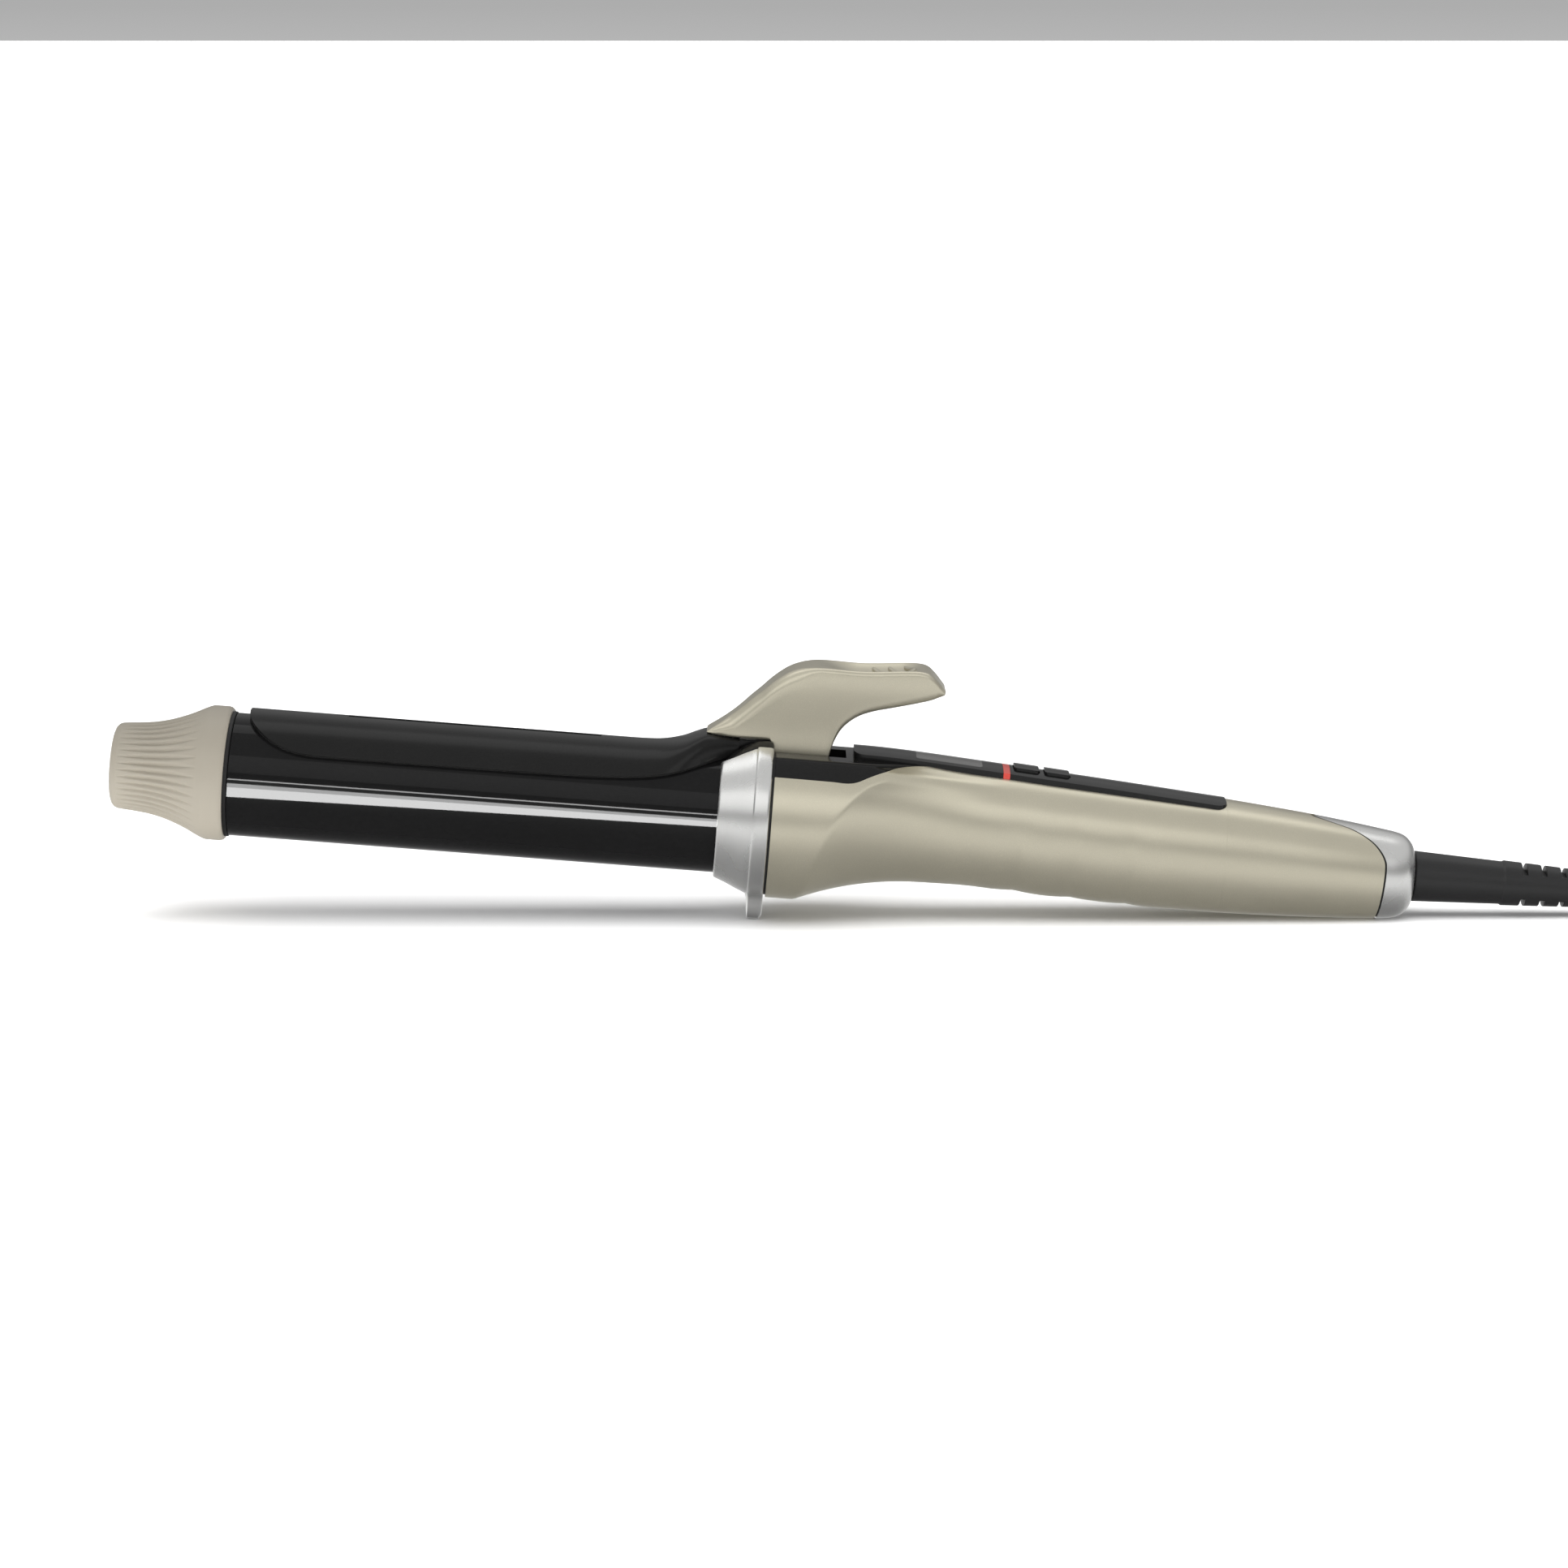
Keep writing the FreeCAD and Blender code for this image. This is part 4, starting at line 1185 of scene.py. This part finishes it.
@dataclass
class HandleForm:
    """The handle's outer form: a round front that a long hollow narrows into the grip."""

    front_radius: float = 21.4
    top: Profile = (
        (0.0, 19.2), (30.0, 18.5), (40.0, 18.15), (52.0, 17.6), (62.0, 17.0), (73.0, 16.2),
        (84.0, 15.5), (95.0, 14.8), (106.0, 14.1), (117.0, 13.4), (128.0, 12.4), (140.0, 11.2),
        (150.0, 10.0), (160.0, 8.6), (163.6, 8.0), (165.6, 7.3), (167.0, 6.1), (167.75, 4.9),
        (168.0, 4.0),
    )
    bottom: Profile = (
        (0.0, -14.3), (40.0, -14.3), (50.0, -14.2), (60.0, -14.45), (73.0, -15.15), (84.0, -15.5),
        (95.0, -16.0), (106.0, -16.25), (117.0, -16.3), (128.0, -16.1), (140.0, -15.7), (150.0, -15.2),
        (160.0, -14.6), (163.6, -14.15), (165.6, -13.4), (167.0, -12.1), (167.75, -10.9),
        (168.0, -10.0),
    )
    half: Profile = (
        (0.0, 15.2), (52.0, 15.1), (73.0, 15.0), (95.0, 14.7), (117.0, 14.1), (128.0, 13.5),
        (140.0, 12.9), (150.0, 12.2), (160.0, 11.2), (163.6, 10.75), (165.6, 10.05), (167.0, 8.9),
        (167.75, 7.8), (168.0, 7.0),
    )
    crease: Profile = (
        (-21.5, 7.2), (-18.0, 9.0), (-8.0, 12.2), (4.0, 17.0), (11.5, 22.8), (15.0, 29.0), (16.3, 28.5),
        (17.6, 24.0), (21.5, 20.0),
    )
    squareness: float = 2.25
    hollow_length: float = 34.0
    hollow_sweep: float = 2.1
    waves_from: float = 50.0
    waves_to: float = 110.0
    wave_pitch: float = 14.6
    wave_depth: float = 0.42

    def point(self, x: float, angle: float, inset: float = 0.0) -> Vector:
        """A point on the form.

        Args:
            x: place along the iron.
            angle: degrees round from the top; positive towards +y.
            inset: how far inside the surface.

        Returns:
            The point.
        """
        a = math.radians(angle)
        s, c = math.sin(a), math.cos(a)
        round_y, round_z = self.front_radius * s, self.front_radius * c
        high, low, wide = (table_lookup(t, x) for t in (self.top, self.bottom, self.half))
        tall, middle = (high - low) / 2, (high + low) / 2
        reach = (abs(s) ** self.squareness + abs(c) ** self.squareness) ** (-1 / self.squareness)
        wave = 0.0
        if self.waves_from < x < self.waves_to:
            edge = ease((x - self.waves_from) / 10) * ease((self.waves_to - x) / 14)
            beat = ((x - self.waves_from) / self.wave_pitch) % 1.0
            swell = math.sin(math.pi * beat) ** 0.7
            side = ease((-c + 0.75) / 1.3)
            wave = self.wave_depth * edge * (swell - 0.6) * side
        slim_y, slim_z = (wide + wave) * s * reach, middle + (tall + wave) * c * reach
        start = table_lookup(self.crease, round_z)
        t = min(1.0, max(0.0, (x - start) / self.hollow_length))
        narrow = 1.0 - (1.0 - t) ** self.hollow_sweep
        y = round_y + (slim_y - round_y) * narrow
        z = round_z + (slim_z - round_z) * narrow
        if inset:
            away = math.hypot(y, z - middle)
            y -= inset * y / away
            z -= inset * (z - middle) / away
        return Vector((x, y, z))

    def angle_at(self, x: float, test: Callable[[Vector], float]) -> float:
        """The angle from the top at which a falling measure of the surface reaches zero.

        Args:
            x: place along the iron.
            test: the measure, above zero at the top.

        Returns:
            The angle in degrees.
        """
        low, high = 0.0, 175.0
        for _ in range(36):
            middle = (low + high) / 2
            if test(self.point(x, middle)) > 0:
                low = middle
            else:
                high = middle
        return low


@dataclass
class Handle:
    """Handle halves, top cover and tail collar over one form."""

    form: HandleForm = field(default_factory=HandleForm)
    front_x: float = 0.25
    wall: float = 2.0
    cover_edge: Profile = (
        (0.0, 13.05), (15.0, 12.95), (19.0, 12.85), (21.5, 13.3), (24.5, 14.6), (28.0, 15.9), (31.5, 16.8),
        (36.0, 17.25), (41.0, 17.3), (46.0, 17.0),
    )
    cover_top: float = 17.5
    cover_rear: float = 44.0
    slot_rear: float = 18.4
    slot_half: float = 6.1
    panel_half: float = 7.55
    panel_front: float = 20.2
    panel_rear: float = 117.85
    corner: float = 3.0
    tail_edge: Profile = (
        (-20.0, 159.0), (-15.0, 159.3), (-4.5, 159.9), (0.0, 160.0), (2.2, 159.7), (4.9, 158.0),
        (7.1, 155.3), (9.0, 150.9), (10.2, 145.7), (11.35, 139.8),
    )
    gap: float = 0.5
    tail_x: float = 168.0
    swivel_z: float = -3.0
    swivel_hole: float = 7.0
    tail_wall: float = 1.6
    tail_floor_x: float = 164.6
    tail_back_x: float = 165.0

    def panel_edge(self, x: float) -> float:
        """Half width of the panel's opening at x.

        Args:
            x: place along the iron.

        Returns:
            The half width, which runs out in a rounded corner at the rear.
        """
        over = x - (self.panel_rear - self.corner)
        if over <= 0:
            return self.panel_half
        if x >= self.panel_rear:
            return 0.0
        return self.panel_half - self.corner + math.sqrt(max(self.corner**2 - over**2, 0.0))

    def start_angle(self, x: float) -> float:
        """Where the handle's shell begins below the cover or panel, in degrees from the top.

        Args:
            x: place along the iron.

        Returns:
            The angle.
        """
        if x >= self.panel_rear:
            return 0.0
        wide = self.panel_edge(x)
        by_panel = self.form.angle_at(x, lambda p: wide - p.y if p.z > 0 else -1.0)
        if x >= self.cover_rear:
            return by_panel
        line = table_lookup(self.cover_edge, x)
        return max(by_panel, self.form.angle_at(x, lambda p: p.z - line))

    def end_x(self, angle: float, back: float) -> float:
        """Where the tail collar's edge crosses a line of the form, less back.

        Args:
            angle: the line, in degrees from the top.
            back: distance in front of the edge.

        Returns:
            The place along the iron.
        """
        x = 155.0
        for _ in range(40):
            z = self.form.point(x, angle).z
            x += 0.5 * (table_lookup(self.tail_edge, z) - back - x)
        return x

    def half_rows(self, side: int, inset: float) -> list[Row]:
        """Rows of one handle half.

        Args:
            side: 1 for the far half, -1 for the near one.
            inset: depth below the surface.

        Returns:
            The rows, front to back.
        """
        warp_from = 122.0
        xs = spread(self.front_x, 20.0, 26) + spread(20.6, 50.0, 42) + spread(50.8, 113.5, 84)
        xs += spread(113.9, self.panel_rear - 0.02, 14) + [self.panel_rear] + spread(118.4, warp_from, 5)
        count = 60
        rows = []
        for x in xs:
            start = self.start_angle(x)
            rows.append([self._flat(x, side, a, inset) for a in spread(start, 180.0, count)])
        for t in spread(0.0, 1.0, 34)[1:]:
            row = []
            for a in spread(0.0, 180.0, count):
                x = warp_from + (self.end_x(a, self.gap) - warp_from) * t
                row.append(self._flat(x, side, a, inset))
            rows.append(row)
        return rows

    def _flat(self, x: float, side: int, angle: float, inset: float) -> Vector:
        """A point of one half, held to its own side of the parting line.

        Args:
            x: place along the iron.
            side: 1 for the far half, -1 for the near one.
            angle: degrees from the top.
            inset: depth below the surface.

        Returns:
            The point.
        """
        p = self.form.point(x, angle, inset)
        y = max(p.y, 0.02)
        return Vector((p.x, side * y, p.z))

    def build(self, make: Builder) -> None:
        """Makes the halves, the cover, the tail and the dark line round its edge.

        Args:
            make: the builder.
        """
        halves = ((-1, "handle_half_near", "handle_right"), (1, "handle_half_far", "handle_left"))
        for side, name, node in halves:
            outer = self.half_rows(side, 0.0)
            inner = self.half_rows(side, self.wall)
            self._rest(make, outer)
            half = make.shell(name, outer, inner)
            make.finish(half, CHAMPAGNE, Body.ROOT, "champagne", node, bevel_mm=0.14)
        self.cover(make)
        self.tail(make)

    def _rest(self, make: Builder, rows: list[Row]) -> None:
        """Flattens what would go through the table.

        Args:
            make: the builder.
            rows: rows of points, which are lifted in place.
        """
        for row in rows:
            for p in row:
                placed = make.tool.place(p)
                if placed.z < 0.00001:
                    p.z += (0.00001 - placed.z) / MM / math.cos(make.tool.tilt)

    def cover_row(self, x: float, side: int, inset: float, inner_edge: float) -> Row:
        """One cross line of the cover, from its lower edge over the flat top to the slot or panel.

        Args:
            x: place along the iron.
            side: 1 far, -1 near.
            inset: depth below the surface.
            inner_edge: distance of its inner edge from the middle.

        Returns:
            The line's points.
        """
        line = table_lookup(self.cover_edge, x)
        low = self.form.angle_at(x, lambda p: p.z - line)
        high = self.form.angle_at(x, lambda p: p.z - (self.cover_top - 0.55))
        points = [self.form.point(x, a, inset) for a in spread(low, min(high, low), 14)]
        last = points[-1]
        top = max(last.z, self.cover_top - 0.55 - inset)
        rise = min(0.55, max(0.0, self.cover_top - inset - top))
        for t in spread(0.0, 1.0, 6)[1:]:
            bend = math.radians(90 * t)
            points.append(Vector((x, last.y - 0.9 * (1 - math.cos(bend)), top + rise * math.sin(bend))))
        edge = points[-1]
        for t in spread(0.0, 1.0, 6)[1:]:
            y = edge.y + (inner_edge - edge.y) * t
            points.append(Vector((x, y, edge.z + 0.12 * math.sin(math.pi * t / 2))))
        return [Vector((p.x, side * p.y, p.z)) for p in points]

    def cover_inner_edge(self, x: float) -> float:
        """Distance of the cover's inner edge from the middle.

        Args:
            x: place along the iron.

        Returns:
            The slot's half width, nothing on the bridge behind it, and then the panel's opening.
        """
        if x <= self.slot_rear:
            return self.slot_half
        if x < self.panel_front - 0.01:
            return 0.0
        into = max(0.0, self.panel_front + self.corner - x)
        rounded = math.sqrt(max(0.0, self.corner**2 - into**2))
        return min(self.panel_half, self.panel_half - self.corner + rounded)

    def cover(self, make: Builder) -> None:
        """Makes the black cover round the lever's slot and up to the panel.

        Args:
            make: the builder.
        """
        stations = spread(self.front_x, self.slot_rear, 22) + [self.slot_rear + 0.02]
        stations += spread(self.panel_front - 0.02, self.cover_rear, 40)
        for side, name, nodes in ((-1, "near", ("top_cover",)), (1, "far", ())):
            outer, inner = [], []
            for x in stations:
                edge = self.cover_inner_edge(x)
                outer.append(self.cover_row(x, side, 0.0, edge))
                inner.append(self.cover_row(x, side, self.wall, edge))
            half = make.shell(f"top_cover_{name}", outer, inner)
            make.finish(half, GLOSS_BLACK, Body.ROOT, "gloss_black", *nodes, bevel_mm=0.15)

    def tail(self, make: Builder) -> None:
        """Makes the chrome tail collar and the dark line in front of it.

        Args:
            make: the builder.
        """
        angles = spread(-180.0, 180.0, 161)[:-1]
        outer, inner = [], []
        for t in spread(0.0, 1.0, 30):
            over, under = [], []
            for a in angles:
                x = self.end_x(abs(a), 0.0)
                x += (self.tail_x - x) * (1 - (1 - t) ** 1.6)
                over.append(self._round(x, a, 0.0))
                under.append(self._round(min(x, self.tail_floor_x), a, self.tail_wall))
            outer.append(over)
            inner.append(under)
        lip, bore = [], []
        for a in angles:
            turn = math.radians(a)
            y = self.swivel_hole * math.sin(turn)
            z = self.swivel_z + self.swivel_hole * math.cos(turn)
            lip.append(Vector((self.tail_x, y, z)))
            bore.append(Vector((self.tail_back_x, y, z)))
        outer.append(lip)
        inner.append(bore)
        self._rest(make, outer)
        tail = make.shell("tail_collar_chrome", outer, inner, wrap=True)
        make.finish(tail, SATIN_CHROME, Body.ROOT, "satin_chrome", "tail_collar", bevel_mm=0.18)
        near, far = [], []
        for back in (self.gap + 0.25, self.gap * 0.5, -0.2):
            near.append([self._round(self.end_x(abs(a), back), a, 0.45) for a in angles])
            far.append([self._round(self.end_x(abs(a), back), a, 1.4) for a in angles])
        line = make.shell("tail_dark_line", near, far, wrap=True)
        make.finish(line, SEAL, Body.ROOT, "black_seal", "tail_gap_ring")

    def _round(self, x: float, angle: float, inset: float) -> Vector:
        """A point of the form on either side."""
        p = self.form.point(x, abs(angle), inset)
        return Vector((p.x, math.copysign(p.y, angle) if angle else 0.0, p.z))


# ------------------------------------------------------------ panel and inside


@dataclass
class ControlPanel:
    """Raised panel with its window, marker and buttons."""

    edge_mm: float = 0.28

    def build(self, make: Builder) -> None:
        """Dresses the panel's own pieces.

        Args:
            make: the builder.
        """
        rows = (
            ("control_panel", "control_panel_plate", GLOSS_BLACK, Body.ROOT, "gloss_black", self.edge_mm),
            ("display_window", "display_window_pane", WINDOW, Body.ROOT, "window_smoke", 0.1),
            ("status_marker", "status_marker_bar", MARKER, Body.ROOT, "marker_red", 0.1),
            ("power_button", "power_button_key", GLOSS_BLACK, Body.POWER, "gloss_black", 0.25),
            ("temperature_button", "temperature_button_key", GLOSS_BLACK, Body.TEMPERATURE, "gloss_black",
             0.25),
        )
        for node, name, finish, body, slot, edge in rows:
            piece = make.from_node(node, name)
            make.finish(piece, finish, body, slot, node, bevel_mm=edge)


class Inside:
    """The pieces inside the iron, which keep the frame's own shapes."""

    FINISHES = {
        "aluminium": ALUMINIUM, "ceramic": CERAMIC, "nickel": NICKEL, "steel": STEEL,
        "hub_plastic": HUB, "board_green": BOARD, "chip_black": CHIP, "lead_white": LEAD,
        "marker_red": MARKER, "black_seal": SEAL, "cord_black": CORD_PVC, "tie_black": TIE_CLOTH,
        "gloss_black": GLOSS_BLACK, "satin_chrome": SATIN_CHROME, "champagne": CHAMPAGNE,
        "clamp_black": CLAMP_COAT, "barrel_black": BARREL_COAT, "cream_tip": CREAM,
        "window_smoke": WINDOW,
    }

    def build(self, make: Builder) -> None:
        """Dresses every node that is still shown.

        Args:
            make: the builder.
        """
        slots = {row["node"]: row["material_slot"] for row in make.frame["record"]["subparts"]}
        for name, node in sorted(make.frame["nodes"].items()):
            if node.hide_render:
                continue
            node.data.materials.clear()
            node.data.materials.append(self.FINISHES[slots[name]].make())
            LOG.info("%s: kept from the frame", name)


# ------------------------------------------------------------------------ cord


@dataclass
class Swivel:
    """Turning swivel cone with its ribbed strain relief."""

    def build(self, make: Builder) -> None:
        """Dresses the swivel's outer piece."""
        relief = make.from_node("swivel_strain_relief", "swivel_strain_relief_moulded")
        make.finish(relief, CORD_PVC, Body.SWIVEL, "cord_black", "swivel_strain_relief", bevel_mm=0.25)


@dataclass
class Cord:
    """Mains cord from the strain relief, through a tied hank, to its plug.

    The route outside the hank is in metres and the hank in millimetres.
    """

    diameter: float = 0.006
    real_length: float = 1.8
    centre: tuple[float, float] = (294.0, 6.0)
    reach: float = 31.5
    pinch: float = 9.5
    tie_lift: float = 1.2
    lanes: tuple[tuple[float, float], ...] = (
        (25.0, 3.0), (19.0, 3.0), (19.0, 9.0), (25.0, 9.0), (25.0, 15.0), (19.0, 15.0), (19.0, 21.0),
    )
    lane_turns: float = 0.885
    shift_turns: float = 0.13
    lead_turns: float = 0.02
    loop_pull: float = 0.966
    middle_loop: float = 21.0
    exit_point: tuple[float, float, float] = (228.3, 0.0, -3.0)
    turns: int = 6
    lead: tuple[tuple[float, float, float], ...] = (
        (0.2110, 0.0, 0.00495), (0.2235, -0.0022, 0.0040), (0.2355, -0.0095, 0.0033),
        (0.2470, -0.0172, 0.00305), (0.2605, -0.0204, 0.0030), (0.2735, -0.0176, 0.0030),
    )
    over: tuple[tuple[float, float, float], ...] = (
        (0.2850, -0.0096, 0.0216), (0.2980, -0.0099, 0.0222), (0.3110, -0.0116, 0.0214),
        (0.3240, -0.0126, 0.0210), (0.3370, -0.0129, 0.0211),
    )
    end: tuple[tuple[float, float, float], ...] = (
        (0.3480, -0.0127, 0.0194), (0.3585, -0.0120, 0.0126), (0.3685, -0.0110, 0.0082),
        (0.3780, -0.0103, 0.0071), (0.3870, -0.0100, 0.0070),
    )

    def lane(self, turn: float) -> tuple[float, float]:
        """Loop radius and height of the strand after so many turns.

        Args:
            turn: turns since the lead joined the hank.

        Returns:
            Radius and height; the strand eases from lane to lane over a short stretch.
        """
        at = (turn + self.lead_turns) / self.lane_turns
        number = int(at)
        if number >= len(self.lanes) - 1:
            return self.lanes[-1]
        share = self.shift_turns / self.lane_turns
        blend = ease((at - number - (1 - share)) / share)
        (r0, z0), (r1, z1) = self.lanes[number], self.lanes[number + 1]
        return r0 + (r1 - r0) * blend, z0 + (z1 - z0) * blend

    def spot(self, stop: tuple[str, float], radius: float) -> tuple[float, float]:
        """Control point at a stop of the turn.

        Args:
            stop: a side of the waist, or an angle round the far or near loop.
            radius: the strand's loop radius.

        Returns:
            Its place from the hank's middle.
        """
        pull = radius / self.loop_pull
        where, value = stop
        if where == "waist":
            beside = 0.25 * pull * math.sin(math.radians(60))
            return 0.0, value * (radius - self.pinch - beside) / 0.75
        side = self.reach if where == "far" else -self.reach
        return side + pull * math.cos(math.radians(value)), pull * math.sin(math.radians(value))

    def hank(self) -> list[Vector]:
        """Control points of the hank: six turns, two side by side in each layer, waisted under the tie.

        Returns:
            The points, in metres.
        """
        stops = [("waist", -1.0)] + [("far", float(a)) for a in range(-120, 121, 30)]
        stops += [("waist", 1.0)] + [("near", float(a)) for a in range(60, 301, 30)]
        middle = [self.spot(stop, self.middle_loop) for stop in stops]
        steps = [math.dist(a, b) for a, b in zip(middle, middle[1:] + middle[:1])]
        points = []
        for turn in range(self.turns):
            for i, stop in enumerate(stops):
                radius, height = self.lane(turn + sum(steps[:i]) / sum(steps))
                x, y = self.spot(stop, radius)
                lift = self.tie_lift if stop[0] == "waist" else 0.0
                points.append(Vector((self.centre[0] + x, self.centre[1] + y, height + lift)) * MM)
        return points

    def build(self, make: Builder) -> None:
        """Makes the cord, its tie and its plug.

        Args:
            make: the builder.
        """
        exit_at = make.tool.place(Vector(self.exit_point))
        by_hand = [[Vector(p) for p in part] for part in (self.lead, self.over, self.end)]
        route = [exit_at] + by_hand[0] + self.hank() + by_hand[1] + by_hand[2]
        curve = bpy.data.curves.new("mains_cord", "CURVE")
        curve.dimensions = "3D"
        curve.bevel_depth = self.diameter / 2
        curve.bevel_resolution = 6
        curve.resolution_u = 6
        curve.use_fill_caps = True
        line = curve.splines.new("NURBS")
        line.points.add(len(route) - 1)
        for spot, p in zip(line.points, route):
            spot.co = (*p, 1.0)
        line.order_u = 3
        line.use_endpoint_u = True
        cord = bpy.data.objects.new("mains_cord", curve)
        bpy.context.scene.collection.objects.link(cord)
        make.finish(cord, CORD_PVC, Body.ROOT, "cord_black", "cord_lead", "cord_hank", "cord_end")
        self.tie(make)
        self.plug(make)

    def tie(self, make: Builder) -> bpy.types.Object:
        """Makes the tie round the hank."""
        tie = make.from_node("cord_tie", "cord_tie_strap")
        return make.finish(tie, TIE_CLOTH, Body.ROOT, "tie_black", "cord_tie", bevel_mm=0.3)

    def plug(self, make: Builder) -> bpy.types.Object:
        """Makes the moulded plug."""
        plug = make.from_node("plug_body", "plug_moulded_body")
        return make.finish(plug, CORD_PVC, Body.ROOT, "cord_black", "plug_body", bevel_mm=0.2)


def main() -> None:
    """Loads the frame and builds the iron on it."""
    logging.basicConfig(level=logging.INFO, format="%(name)s: %(message)s")
    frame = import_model()
    make = Builder(frame)
    studio = Studio()
    studio.build()
    Cord().build(make)
    CoolTip().build(make)
    studio.barrel_strips(Barrel().build(make))
    Clamp().build(make)
    ThumbLever().build(make)
    Collar().build(make)
    Handle().build(make)
    ControlPanel().build(make)
    Swivel().build(make)
    Inside().build(make)


if __name__ == "__main__":
    main()
